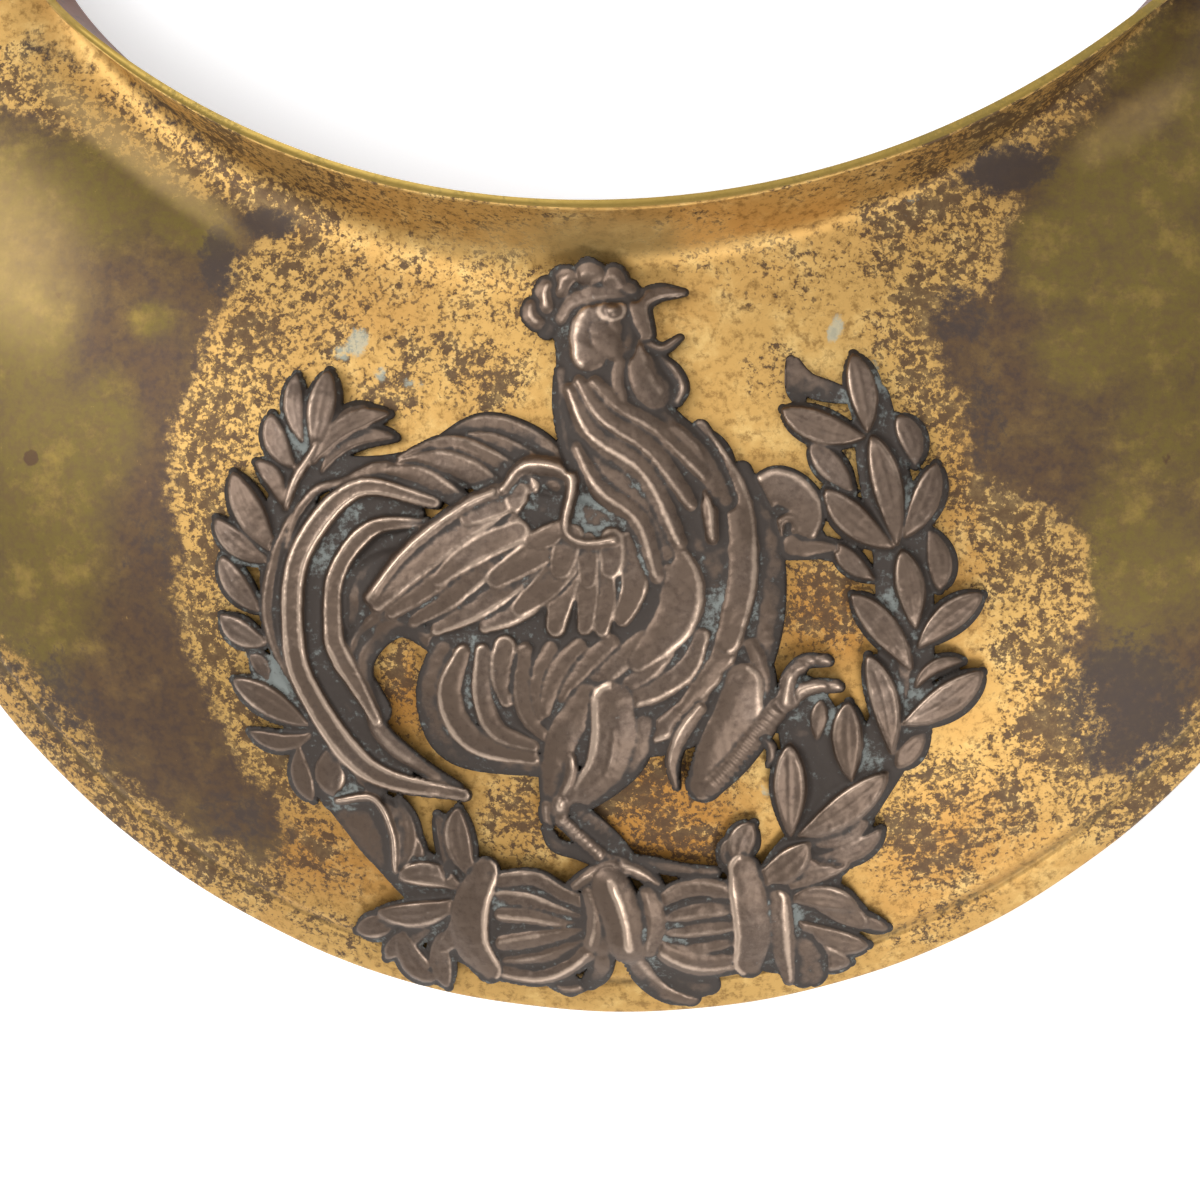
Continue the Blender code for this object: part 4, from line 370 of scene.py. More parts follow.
    ("comb a", 422, 884, 416, 892, 414, 900, 415, 906, 12.9, 14.2, 11.6, 0.3, 0.48, 0, 0, 0.35),
    ("thigh side", 556, 366, 541, 325, 514, 294, 482, 267, 18.1, 16.8, 9.1, -0.02, 0.3, 0, 0, 0),
    ("thigh back", 488, 405, 455, 356, 438, 309, 430, 265, 20.8, 22, 11.7, 0.08, 0.36, 0, 0, 0.1),
    ("thigh", 518, 397, 517, 351, 501, 307, 461, 267, 29.8, 28.5, 12.9, 0.2, 0.42, 0, 0.78, 0.5),
    ("thigh line", 520, 361, 517, 338, 513, 320, 504, 301, 5.2, 6.5, 3.9, 0.5, 0.25, 0, 0, 0.3),
    ("thigh fold", 463, 325, 462, 305, 456, 288, 447, 274, 6.5, 9.1, 6.5, 0.36, 0.34, 0, 0, 0.45),
    ("hock back", 426, 262, 425, 254, 425, 246, 426, 241, 10.5, 10.5, 9.2, 0.2, 0.5, 0, 0, 0.4),
    ("hock", 445, 265, 444, 257, 442, 250, 443, 245, 11.8, 11.8, 10.5, 0.35, 0.55, 0, 0, 0.5),
    ("spur", 423, 231, 434, 211, 459, 202, 480, 191, 7.9, 10.5, 6.6, -0.02, 0.34, 0, 0, 0.1),
    ("shank side", 468, 254, 488, 233, 506, 214, 527, 189, 13.1, 15.7, 13.1, -0.08, 0.26, 0, 0, 0),
    ("shank", 444, 244, 464, 224, 484, 205, 509, 182, 10.5, 11.1, 11.8, 0.32, 0.5, 0, 0, 0.25),
    ("toe 3", 512, 191, 556, 186, 599, 178, 640, 176, 10.5, 10.5, 7.9, 0.12, 0.42, 0, 0, 0.15),
    ("toe 2", 506, 189, 540, 178, 561, 160, 568, 133, 11.8, 11.8, 9.2, 0.28, 0.5, 0, 0, 0.3),
    ("toe 1", 509, 183, 485, 175, 466, 165, 446, 150, 11.9, 11.9, 9.2, 0.28, 0.5, 0, 0, 0.4),
    ("far thigh edge", 697, 471, 712, 436, 711, 400, 692, 364, 11.5, 14.1, 9, 0, 0.36, 0, -0.1, 0.15),
    ("far thigh slip", 631, 390, 604, 354, 592, 320, 595, 287, 10.3, 11.6, 5.2, 0.05, 0.42, 0, 0.3, 0.45),
    ("far thigh", 686, 421, 677, 374, 652, 328, 630, 290, 28.3, 34.7, 23.1, 0.18, 0.4, 0, -0.8, 0.35),
    ("raised shank", 642, 289, 675, 320, 710, 364, 744, 408, 14.2, 15.5, 12.9, 0.45, 0.48, 0, 0, 0.1),
    ("raised toe 2", 741, 395, 760, 413, 780, 418, 804, 418, 11.5, 11.5, 9, 0.4, 0.5, 0, 0, 0.25),
    ("raised toe 1", 739, 397, 745, 428, 763, 449, 791, 451, 12.8, 11.5, 9, 0.44, 0.5, 0, 0, 0.3),
    ("raised knob 1", 784, 451, 786, 451, 790, 451, 794, 450, 7.7, 8.9, 7.7, 0.62, 0.45, 0, 0, 0.3),
    ("raised knob 2", 798, 418, 801, 418, 804, 418, 807, 417, 7.7, 9.6, 7.7, 0.62, 0.45, 0, 0, 0.4),
    ("raised knob 3", 753, 439, 755, 440, 759, 441, 762, 443, 7.7, 9, 7.7, 0.66, 0.4, 0, 0, 0.2),
    ("raised spur", 709, 351, 717, 341, 719, 328, 713, 315, 5.2, 7.7, 3.9, 0.3, 0.4, 0, 0, 0.2),
)

# Bow, with the same columns
BOW = (
    ("torn leaf", 160, 266, 179, 240, 201, 205, 219, 163, 16, 25.4, 5.3, -0.12, 0.1, 0, 0, 0),
    ("torn rim", 149, 268, 198, 271, 220, 227, 220, 174, 4, 6.6, 3.3, 0.4, 0.5, 0, 0, 0.7),
    ("stem", 139, 729, 126, 708, 110, 683, 97, 647, 5.2, 7.8, 5.2, 0.35, 0.38, 0, 0, 0.35),
    ("left tail", 473, 78, 439, 55, 422, 38, 439, 23, 18.8, 21.5, 16.1, 0, 0.36, 0, 0, 0.1),
    ("left tail 2", 416, 33, 428, 19, 446, 18, 466, 25, 5.4, 8.1, 5.4, 0.25, 0.34, 0, 0, 0.4),
    ("left tail 3", 489, 78, 484, 58, 478, 41, 466, 28, 16.1, 17.4, 12, -0.05, 0.36, 0, 0, 0.1),
    ("right tail", 525, 80, 544, 47, 568, 23, 596, 9, 16, 26.7, 14.7, 0, 0.4, 0, 0.1, 0.25),
    ("right tail 2", 566, 65, 586, 42, 605, 28, 621, 26, 21.3, 24, 16, -0.05, 0.34, 0, 0, 0),
    ("right slip 2", 743, 72, 750, 55, 752, 44, 744, 38, 26.5, 29.2, 18.6, -0.1, 0.3, 0, 0, 0),
    ("right slip", 719, 141, 719, 107, 721, 69, 726, 31, 19.7, 19.7, 7.9, 0.15, 0.44, 0, -0.4, 0.4),
    ("left hollow", 459, 105, 422, 105, 388, 104, 356, 103, 26.7, 50.7, 53.3, -0.2, 0.06, 0, 0, 0),
    ("left pleat 1", 460, 117, 426, 127, 393, 139, 358, 143, 6.6, 13.3, 13.3, -0.05, 0.42, 0, 0.4, 0.4),
    ("left pleat 2", 464, 103, 428, 109, 394, 116, 356, 119, 6.7, 12, 12, -0.05, 0.42, 0, -0.3, 0.35),
    ("left pleat 3", 466, 98, 432, 92, 391, 84, 355, 78, 6.7, 13.4, 13.4, -0.05, 0.42, 0, 0.3, 0.3),
    ("left pleat 4", 471, 87, 435, 70, 397, 57, 357, 54, 8, 13.4, 10.7, -0.05, 0.42, 0, 0.2, 0.25),
    ("left top", 477, 130, 441, 147, 403, 167, 352, 164, 9.3, 13.2, 11.9, 0.3, 0.45, 0, 0.5, 0.4),
    ("left bottom", 478, 79, 444, 49, 400, 33, 345, 40, 10.7, 12.1, 12.1, 0.38, 0.48, 0, -0.2, 0.45),
    ("left strap", 340, 177, 318, 130, 314, 81, 334, 43, 18.8, 26.8, 18.8, 0.4, 0.42, 0, -0.84, 0.55),
    ("right hollow", 564, 105, 590, 105, 616, 105, 649, 104, 23.8, 47.6, 50.2, -0.2, 0.06, 0, 0, 0),
    ("right pleat 1", 564, 112, 596, 120, 625, 125, 656, 128, 6.6, 14.5, 14.5, -0.05, 0.42, 0, 0.4, 0.25),
    ("right pleat 2", 566, 96, 594, 96, 623, 100, 655, 104, 6.6, 11.9, 11.9, -0.05, 0.42, 0, 0.4, 0.25),
    ("right pleat 3", 570, 80, 598, 72, 624, 74, 656, 82, 8, 11.9, 10.6, -0.05, 0.4, 0, 0.3, 0.2),
    ("right top", 552, 128, 585, 149, 619, 157, 657, 152, 10.5, 14.5, 13.1, 0.3, 0.45, 0, -0.3, 0.25),
    ("right bottom", 549, 85, 582, 61, 617, 50, 665, 55, 12, 16, 14.6, 0.34, 0.48, 0, 0.3, 0.3),
    ("right strap", 677, 179, 683, 133, 684, 91, 675, 53, 22.3, 26.3, 19.7, 0.4, 0.42, 0, 0.84, 0.6),
    ("knot back", 482, 138, 486, 118, 487, 98, 486, 82, 18.6, 21.2, 19.9, 0.25, 0.3, 0, 0, 0),
    ("knot left", 476, 148, 482, 128, 481, 105, 473, 78, 10.6, 11.9, 10.6, 0.38, 0.42, 0, 0, 0.4),
    ("knot right", 553, 147, 557, 128, 558, 104, 549, 74, 14.5, 15.8, 13.2, 0.36, 0.42, 0, 0.2, 0.2),
    ("knot", 504, 157, 512, 133, 518, 106, 521, 77, 26.4, 29.1, 23.8, 0.5, 0.48, 0, -0.12, 0.5),
)

# Plain ground between the shapes: part, four places along a stroke, three half widths
GROUND = (
    ("cock", 452, 503, 490, 503, 523, 503, 550, 503, 173.5, 195.3, 177.4),
    ("cock", 505, 848, 521, 758, 557, 694, 593, 630, 57.6, 76.9, 105),
    ("cock", 504, 892, 501, 881, 497, 871, 497, 861, 54, 54, 51.4),
    ("cock", 434, 580, 375, 567, 310, 554, 244, 531, 103.1, 90.2, 28.3),
    ("cock", 468, 907, 491, 923, 512, 928, 532, 922, 25.7, 25.7, 18),
    ("cock", 548, 904, 551, 889, 556, 876, 559, 863, 12.8, 15.4, 15.4),
    ("cock", 551, 835, 563, 822, 576, 803, 585, 790, 20.5, 25.6, 20.5),
    ("cock", 429, 695, 377, 714, 325, 714, 273, 710, 38.6, 33.5, 12.9),
    ("wreath", 134, 721, 105, 657, 93, 580, 108, 477, 28.7, 33.9, 36.5),
    ("wreath", 108, 477, 114, 412, 135, 334, 156, 282, 36.9, 42.2, 34.3),
    ("wreath", 156, 282, 192, 232, 239, 179, 277, 147, 32.1, 32.1, 40.1),
    ("wreath", 277, 147, 294, 117, 313, 97, 339, 90, 45.7, 48.4, 45.7),
    ("wreath", 850, 783, 869, 681, 890, 579, 893, 464, 25.4, 35.6, 35.6),
    ("wreath", 893, 464, 881, 374, 827, 283, 768, 205, 35.9, 35.9, 38.5),
    ("wreath", 768, 205, 748, 165, 733, 125, 712, 92, 41.8, 54.9, 52.3),
    ("cock", 155, 695, 221, 689, 286, 695, 377, 707, 18.1, 28.5, 31.1),
    ("cock", 154, 605, 146, 528, 163, 451, 206, 386, 39.2, 33.9, 20.9),
    ("cock", 114, 580, 110, 477, 146, 386, 235, 308, 31.5, 34.1, 18.4),
    ("cock", 246, 631, 206, 580, 181, 528, 184, 451, 33.7, 44.1, 20.8),
    ("cock", 247, 657, 187, 631, 153, 580, 141, 503, 31.1, 33.7, 26),
    ("wreath", 753, 830, 761, 814, 776, 801, 818, 789, 8.9, 15.3, 10.2),
    ("wreath", 748, 835, 749, 815, 751, 796, 761, 781, 6.4, 8.9, 7.7),
    ("cock", 501, 682, 502, 656, 501, 631, 505, 599, 28.2, 30.7, 28.2),
    ("cock", 748, 599, 767, 597, 786, 596, 811, 590, 20.4, 16.6, 15.3),
    ("wreath", 757, 400, 769, 361, 774, 323, 753, 270, 33.4, 43.7, 33.4),
    ("cock", 704, 656, 729, 643, 748, 618, 776, 605, 33.1, 43.3, 17.8),
)

# Broad swellings under the drawing: name, four places, three half widths, height
SWELLINGS = (
    ("left branch", 131, 747, 63, 580, 103, 347, 293, 103, 65.5, 60.2, 52.4, 0.55),
    ("right branch", 837, 815, 894, 579, 870, 348, 732, 105, 63.6, 63.6, 56, 0.55),
    ("body", 518, 631, 555, 528, 553, 426, 487, 374, 141, 179.4, 153.8, 1.75),
    ("rump", 350, 580, 374, 503, 359, 425, 396, 374, 90.4, 116.2, 77.5, 1.2),
    ("neck", 505, 848, 521, 758, 570, 682, 594, 579, 66.6, 84.5, 128.1, 1.45),
    ("head", 504, 912, 504, 886, 505, 861, 505, 835, 59.1, 64.2, 64.2, 1.2),
    ("wing", 505, 599, 428, 599, 324, 580, 225, 528, 89.9, 84.8, 43.7, 1.55),
    ("tail", 338, 695, 168, 657, 98, 503, 261, 302, 44.2, 67.5, 39, 0.75),
    ("near thigh", 552, 400, 518, 348, 484, 309, 450, 270, 77.7, 57, 28.5, 1.5),
    ("far thigh", 676, 464, 674, 400, 647, 348, 632, 290, 64.2, 51.4, 43.7, 1.2),
    ("bow", 326, 104, 432, 98, 589, 99, 675, 119, 66.7, 58.7, 66.7, 0.9),
    ("knot", 503, 138, 505, 118, 506, 98, 507, 78, 58.3, 60.9, 58.3, 1.7),
)

# Pale deposit in the recesses: right, up, reach, amount
DEPOSITS = (
    (502, 641, 33, 1),
    (670, 516, 44, 0.8),
    (638, 441, 33, 0.7),
    (84, 427, 34, 1),
    (153, 580, 29, 0.6),
    (217, 503, 26, 0.6),
    (702, 123, 16, 1),
    (735, 119, 16, 1),
    (562, 85, 24, 0.9),
    (433, 105, 21, 0.6),
    (682, 277, 18, 0.9),
    (427, 580, 31, 0.7),
    (556, 579, 26, 0.6),
    (283, 528, 23, 0.5),
    (403, 663, 21, 0.6),
    (116, 734, 21, 0.7),
    (47, 580, 18, 0.7),
    (888, 656, 23, 0.8),
    (874, 528, 20, 0.7),
    (897, 413, 20, 0.6),
    (557, 682, 26, 0.6),
    (345, 413, 26, 0.5),
    (449, 400, 21, 0.5),
    (530, 528, 18, 0.5),
    (159, 268, 19, 0.8),
    (362, 131, 16, 0.6),
    (334, 464, 18, 0.6),
    (639, 573, 18, 0.6),
    (181, 644, 21, 0.6),
    (794, 374, 20, 0.6),
    (862, 809, 15, 0.9),
    (818, 777, 18, 0.6),
    (844, 322, 21, 0.6),
    (783, 413, 23, 0.7),
)

# Outlines of the tarnished areas, in millimetres from the centre of the outline circle: right, up
AREAS = (
    ("left", (
        (-68, 19), (-54, 11), (-47, 8), (-41, 6), (-36, 3), (-31, 1), (-26, 0), (-26, -1), (-29, -3),
        (-31, -4), (-31, -7), (-33, -11), (-35, -16), (-36, -20), (-36, -24), (-35, -28), (-36, -32),
        (-35, -37), (-33, -41), (-32, -45), (-28, -49), (-27, -53), (-30, -55), (-33, -54), (-36, -53),
        (-39, -51), (-43, -48), (-47, -43), (-51, -39), (-60, -29), (-69, -7),
    )),
    ("right", (
        (57, 28), (48, 20), (42, 13), (40, 8), (36, 6), (30, 5), (29, 2), (32, 1), (34, 0), (33, -3),
        (32, -6), (28, -7), (27, -10), (28, -14), (30, -16), (30, -20), (32, -23), (37, -25), (40, -28),
        (40, -33), (38, -36), (40, -40), (41, -44), (40, -48), (43, -48), (47, -44), (52, -40),
        (60, -29), (64, -7),
    )),
)

# Kinds of marks on the gilding; pale is painted sheen and light, and two black rows are painted shade
STAIN_KINDS = ("olive", "black", "speck", "deep", "pale", "verdigris", "spot")

# Stains of the gilding, in millimetres from the centre of the outline circle: kind, right, up,
# half length, half width, turn in degrees, amount. The pale kind is no stain: it is painted sheen,
# that is painted highlights and reflections, and painted light in the shaded bend under the flange.
STAINS = (
    ("olive", -43.3, 2.2, 5.2, 4.3, -20, 1),
    ("olive", -35.4, -0.5, 4.3, 2.4, -25, 0.9),
    ("olive", -49.9, 2.3, 5.3, 5.1, 0, 0.6),
    ("olive", -38.2, -8.9, 1.9, 1.5, 0, 0.8),
    ("olive", -49.6, -10.5, 5.4, 7.6, 0, 0.75),
    ("olive", -48, -24, 6, 11, 0, 1),
    ("olive", -49.5, -33.3, 6.2, 5.1, 0, 0.8),
    ("olive", -42.5, -18.2, 3.5, 5.9, 0, 0.6),
    ("olive", 44, 1.7, 7.5, 5.1, 10, 1),
    ("olive", 38.2, -3.4, 4.1, 5, 0, 0.9),
    ("olive", 46.5, -6.7, 5.8, 7.5, 0, 1),
    ("olive", 39.9, -11.7, 4.1, 3.3, 0, 0.8),
    ("olive", 46.9, -18.3, 4.1, 5.8, 0, 0.6),
    ("olive", 43.6, -29.1, 3.8, 6.7, 0, 1),
    ("olive", 47.7, -29.1, 3.8, 5, 0, 0.7),
    ("olive", 45.5, 13.6, 5, 3.4, 30, 0.6),
    ("olive", 52.2, 5.1, 5, 8.4, 0, 0.9),
    ("olive", 53.1, -17.5, 4.9, 10, 0, 0.7),
    ("olive", -57, -7, 7.5, 17, 0, 0.9),
    ("black", -32.7, -3.9, 2.2, 3.9, 0, 0.8),
    ("black", -28.5, -0.9, 2.9, 1.4, -10, 1),
    ("black", 34, 3.6, 4.7, 2.5, 10, 1),
    ("black", 30, -8.8, 2.8, 3.3, 0, 0.7),
    ("black", 32.1, -17.5, 2.5, 5.8, 0, 0.5),
    ("black", -38.3, -29.1, 3.5, 5.9, 0, 0.5),
    ("black", -32.2, -50.7, 4.5, 3.5, -20, 0.6),
    ("black", 42.9, -45.9, 5, 2.9, 30, 0.6),
    # These two dark streaks along the rim at the upper left are painted shade under the leaning lip
    ("black", -46.9, 13.2, 6.9, 2.1, -38, 0.5),
    ("black", -37.2, 8.3, 6.1, 1.9, -35, 0.6),
    ("speck", -13.4, -7.4, 12.8, 7.6, 0, 0.42),
    ("speck", -24.4, -7.3, 6.8, 5.9, -10, 0.75),
    ("speck", -28.6, -10.7, 5.1, 6.7, 0, 0.9),
    ("speck", -32.7, -18.2, 4.3, 6.7, 0, 1),
    ("speck", -33.4, -27.4, 3, 6.7, 0, 1),
    ("speck", -32.9, -37.5, 3, 6.8, 0, 1),
    ("speck", -29.7, -47.7, 5.3, 5.2, 0, 1),
    ("speck", -26.7, -54.6, 5.4, 3.5, -20, 0.7),
    ("speck", -31.8, 5.5, 9.8, 2.5, -35, 0.8),
    ("speck", -23, 2, 6.1, 2.5, -15, 0.8),
    ("speck", -10, -0.3, 10.3, 2, -5, 0.4),
    ("speck", -9.8, -13.5, 3.7, 3.3, 0, 1),
    ("speck", -17.4, -14.9, 3.1, 2.5, 0, 0.9),
    ("speck", -14.1, -11.6, 5.1, 3.4, 0, 0.7),
    ("speck", -6.6, -8.3, 3.4, 4.2, 0, 0.6),
    ("speck", 8.4, -2.5, 4.9, 3.3, 0, 0.35),
    ("speck", 15.9, -5, 7.4, 4.2, 0, 0.3),
    ("speck", 24.9, -2.5, 5.8, 5.1, 0, 0.75),
    ("speck", 27.5, -10.1, 3.3, 5.8, 0, 1),
    ("speck", 30.1, -20, 3.3, 6.6, 0, 1),
    ("speck", 35.8, -29.1, 4.9, 5, 0, 1),
    ("speck", 36.5, -36.6, 4.1, 4.2, 0, 0.9),
    ("speck", 37.2, -44.2, 4.9, 4.2, 0, 1),
    ("speck", 32.9, -49.3, 5.8, 4.3, 0, 0.75),
    ("speck", 28.8, -48.4, 4.1, 3.4, 0, 0.9),
    ("speck", 24.5, -51.8, 2.5, 3.4, 0, 0.9),
    ("speck", 29.9, 1.7, 4.2, 2.5, 0, 0.8),
    ("speck", 37.2, 8.5, 5, 1.9, 25, 0.7),
    ("speck", 20.8, 2.5, 7.4, 1.7, 12, 0.35),
    ("speck", 3, -48.4, 7.6, 4.2, 0, 1),
    ("speck", 4.5, -52.6, 5.9, 2.9, 0, 1),
    ("speck", -7.3, -51, 3.4, 3.4, 0, 0.9),
    ("speck", 18, -32.5, 5, 4.2, 0, 1),
    ("speck", -17, -40, 2.2, 4.2, 0, 0.9),
    ("speck", -41.6, -48.7, 5.6, 2.6, -40, 0.9),
    ("speck", -47.6, -42.7, 4.8, 2.3, -42, 0.9),
    ("speck", -32.5, -57.3, 5.5, 2, -32, 0.5),
    ("speck", 27.5, -59.6, 5, 1.8, 20, 0.6),
    ("speck", 44.5, -49.4, 5, 2.2, 38, 1),
    ("speck", 19.4, -19.2, 2.1, 5, 0, 0.4),
    ("speck", 14.4, -13.4, 2.5, 2.5, 0, 0.5),
    ("deep", 0.1, -35.8, 20.9, 19.2, 0, 0.55),
    ("deep", 2.9, -50.1, 10.1, 6.8, 0, 1),
    ("deep", -22.3, -54.5, 7.9, 4.4, -20, 0.9),
    ("deep", 30, -29.1, 2.5, 13.3, 0, 0.6),
    ("deep", 27.7, -54.4, 9.1, 5.2, 30, 0.6),
    ("deep", 18.4, -33.3, 5, 5, 0, 1),
    ("deep", -17, -40, 2.6, 5.1, 0, 0.8),
    ("deep", 8.4, -1.3, 16.4, 2.5, 0, 0.35),
    ("deep", -18.5, -7.4, 5.1, 3.4, 0, 0.3),
    ("verdigris", -20.4, -10.9, 1.1, 1.4, 0, 1),
    ("verdigris", -18.5, -13.4, 0.8, 1, 0, 0.8),
    ("verdigris", -21.8, -11.7, 0.8, 0.8, 0, 0.7),
    ("verdigris", 19.6, -10, 0.7, 1.5, -20, 1),
    ("verdigris", -15.6, -14.5, 1.4, 0.8, 0, 0.6),
    ("verdigris", -30.2, -36.7, 0.9, 1, 0, 0.8),
    ("verdigris", 16.8, -29.1, 0.7, 0.7, 0, 0.6),
    ("verdigris", 13.4, -48.4, 0.7, 0.7, 0, 0.7),
    ("verdigris", 25.9, 1.2, 0.7, 0.8, 0, 0.5),
    ("verdigris", 22.8, -13.5, 0.7, 1.3, 0, 0.7),
    # Painted reflection: a broad pale sheen on the left horn
    ("pale", -51, -2.5, 11.6, 7.7, -57, 0.6),
    ("black", 43.8, -40.8, 6.6, 7.6, 0, 0.75),
    ("black", -48.3, -41, 8.6, 5.2, -40, 0.6),
    # Painted highlight: a pale streak below the bend at the upper left
    ("pale", -40.4, 5.6, 12.9, 1.9, -38, 0.8),
    # Painted light that lifts the shade in the bend at the foot of the flange, in the middle
    ("pale", 0.2, -2.5, 16.7, 1.8, 0, 0.9),
    # Painted sheen on the right shoulder
    ("pale", 43.9, 7.6, 7.5, 2.6, 35, 0.5),
    ("speck", 27.8, -53.5, 5.8, 3.4, 20, 0.9),
    ("speck", -24.7, -60.7, 5.4, 1.8, -25, 0.7),
    ("spot", -48.9, -20.4, 0.8, 0.8, 0, 1),
    ("spot", -46.4, -6.7, 0.4, 0.3, 0, 0.9),
    ("spot", 47, -20.7, 0.7, 0.8, 0, 0.6),
)


def smooth(a, b, x):
    """Ease from 0 at a to 1 at b."""
    u = np.clip((x - a) / (b - a), 0.0, 1.0)
    return u * u * (3.0 - 2.0 * u)


def bump_at(x, place, width):
    """Soft bump of height 1 round a place."""
    return np.exp(-((x - place) / width) ** 2)


def soften(field, radius):
    """Blur a grid of values; radius is in grid steps."""
    if radius <= 0.0:
        return field
    reach = int(math.ceil(radius * 2.5))
    weights = np.exp(-0.5 * (np.arange(-reach, reach + 1) / radius) ** 2)
    weights = weights / weights.sum()
    for axis in (0, 1):
        pad = [(0, 0), (0, 0)]
        pad[axis] = (reach, reach)
        wide = np.pad(field, pad, mode="edge")
        out = np.zeros_like(field)
        for i, w in enumerate(weights):
            cut = [slice(None), slice(None)]
            cut[axis] = slice(i, i + field.shape[axis])
            out += w * wide[tuple(cut)]
        field = out
    return field


def cloud(shape, grain, seed):
    """Soft random field with a spread of 1; grain is the size of its blobs in grid steps."""
    made = soften(np.random.default_rng(seed).standard_normal(shape), grain)
    return made / made.std()


# Form of the plate

def neck_line(count):
    """Rim of the neck in plan for the right half: places, outward normals and length along it."""
    total = NECK_ARC + NECK_TURN_ARC
    s = np.linspace(0.0, total, NECK_STEPS)
    bend = 1.0 / NECK_RADIUS + (1.0 / NECK_TURN_RADIUS - 1.0 / NECK_RADIUS) * smooth(
        NECK_ARC - NECK_TURN_BLEND, NECK_ARC + NECK_TURN_BLEND, s)
    step = s[1] - s[0]
    angle = np.concatenate([[0.0], np.cumsum((bend[1:] + bend[:-1]) / 2.0) * step])
    dx = np.cos(angle)
    dy = np.sin(angle)
    x = np.concatenate([[0.0], np.cumsum((dx[1:] + dx[:-1]) / 2.0) * step])
    y = NECK_CENTRE_UP - NECK_RADIUS + np.concatenate([[0.0], np.cumsum((dy[1:] + dy[:-1]) / 2.0) * step])
    at = np.linspace(0.0, total, count)
    place = np.stack([np.interp(at, s, x), np.interp(at, s, y)], axis=1)
    turn = np.interp(at, s, angle)
    normal = np.stack([np.sin(turn), -np.cos(turn)], axis=1)
    return place, normal, at


def flare(at):
    """Distance in plan that the rim leans over the neck, along the rim."""
    return FLARE_MIDDLE + (FLARE_HORN - FLARE_MIDDLE) * np.clip(at / NECK_ARC, 0.0, 1.1) ** 2


def fold_line():
    """Line where the dome meets the flange, right half."""
    place, normal, at = neck_line(FOLD_POINTS)
    return place + normal * flare(at)[:, None]


def distance_to(line, x, y):
    """Shortest distance in plan from every place to a line."""
    best = np.full(np.shape(x), FAR_AWAY)
    for (ax, ay), (bx, by) in zip(line[:-1], line[1:]):
        dx = bx - ax
        dy = by - ay
        t = np.clip(((x - ax) * dx + (y - ay) * dy) / (dx * dx + dy * dy), 0.0, 1.0)
        best = np.minimum(best, np.hypot(x - ax - t * dx, y - ay - t * dy))
    return best


def dome_height(x, y):
    """Height of the smooth front of the sheet over the line of its lowest edge."""
    x = np.abs(np.asarray(x, float))
    y = np.asarray(y, float)
    inset = np.clip(OUTER_RADIUS - np.hypot(x, y), 0.0, None)
    span = inset + distance_to(fold_line(), x, y)
    share = inset / np.maximum(span, LEAST_SPAN)
    rise = DOME_RISE * (span / DOME_SPAN) ** DOME_NARROWING
    form = 1.0 - (1.0 - share) ** DOME_FULLNESS - DOME_SAG * smooth(0.7, 1.0, share)
    height = OUTER_RADIUS * (1.0 - math.cos(math.radians(TIP_ANGLE)))
    arch = EDGE_ARCH * np.sin(np.pi * np.clip((y + OUTER_RADIUS) / height, 0.0, 1.0)) ** 2
    return arch + rise * form


def sheet_height(x, y):
    """Height of the front of the sheet with the soft bend at the foot of the flange."""
    line = fold_line()
    side = np.abs(np.asarray(x, float))
    past = np.asarray(y, float) > np.interp(side, line[:, 0], line[:, 1])
    away = distance_to(line, side, y) * np.where(past, -1.0, 1.0)
    lean = FILLET_RISE * FLARE_MIDDLE
    inside = FILLET_REACH ** 2 - (FILLET_REACH - lean) * (FILLET_REACH - np.minimum(away, FILLET_REACH))
    u = (FILLET_REACH - np.sqrt(np.maximum(inside, 0.0))) / (FILLET_REACH - lean)
    return dome_height(x, y) + FLANGE_HEIGHT * FILLET_RISE * np.clip(u, 0.0, 1.0) ** 2


def steepness(x, y):
    """Height of a layer on the sheet, measured straight up, for a thickness of one."""
    slope_x = (sheet_height(x + SLOPE_STEP, y) - sheet_height(x - SLOPE_STEP, y)) / (2.0 * SLOPE_STEP)
    slope_y = (sheet_height(x, y + SLOPE_STEP) - sheet_height(x, y - SLOPE_STEP)) / (2.0 * SLOPE_STEP)
    return np.sqrt(1.0 + slope_x ** 2 + slope_y ** 2)


def tip_share(t):
    """How far into the rounded end of the horn a station lies, 0 to 1."""
    return np.clip((np.abs(t) - TIP_START) / (1.0 - TIP_START), 0.0, 1.0)


def stations(count):
    """Stations along the crescent, closer together in the rounded ends."""
    turn = np.linspace(0.0, math.pi / 2.0, TIP_STATIONS + 1)[1:]
    end = TIP_START + (1.0 - TIP_START) * np.sin(turn)
    return np.concatenate([-end[::-1], np.linspace(-TIP_START, TIP_START, count), end])


def station_places(t):
    """Plan places of the outer edge, the fold and the rim at stations t, -1 to 1."""
    angle = np.abs(t) * math.radians(TIP_ANGLE)
    edge = np.stack([OUTER_RADIUS * np.sin(angle), -OUTER_RADIUS * np.cos(angle)], axis=1)
    place, normal, at = neck_line(NECK_POINTS)
    where = np.abs(t) * (NECK_ARC + NECK_TURN_ARC)
    rim = np.stack([np.interp(where, at, place[:, 0]), np.interp(where, at, place[:, 1])], axis=1)
    way = np.stack([np.interp(where, at, normal[:, 0]), np.interp(where, at, normal[:, 1])], axis=1)
    fold = rim + way * flare(where)[:, None]
    middle = (edge + fold) / 2.0
    close = np.sqrt(1.0 - TIP_CLOSING * tip_share(t) ** 2)[:, None]
    flip = np.stack([np.where(t < 0.0, -1.0, 1.0), np.ones_like(t)], axis=1)
    return [(middle + (line - middle) * close) * flip for line in (edge, fold, rim)]


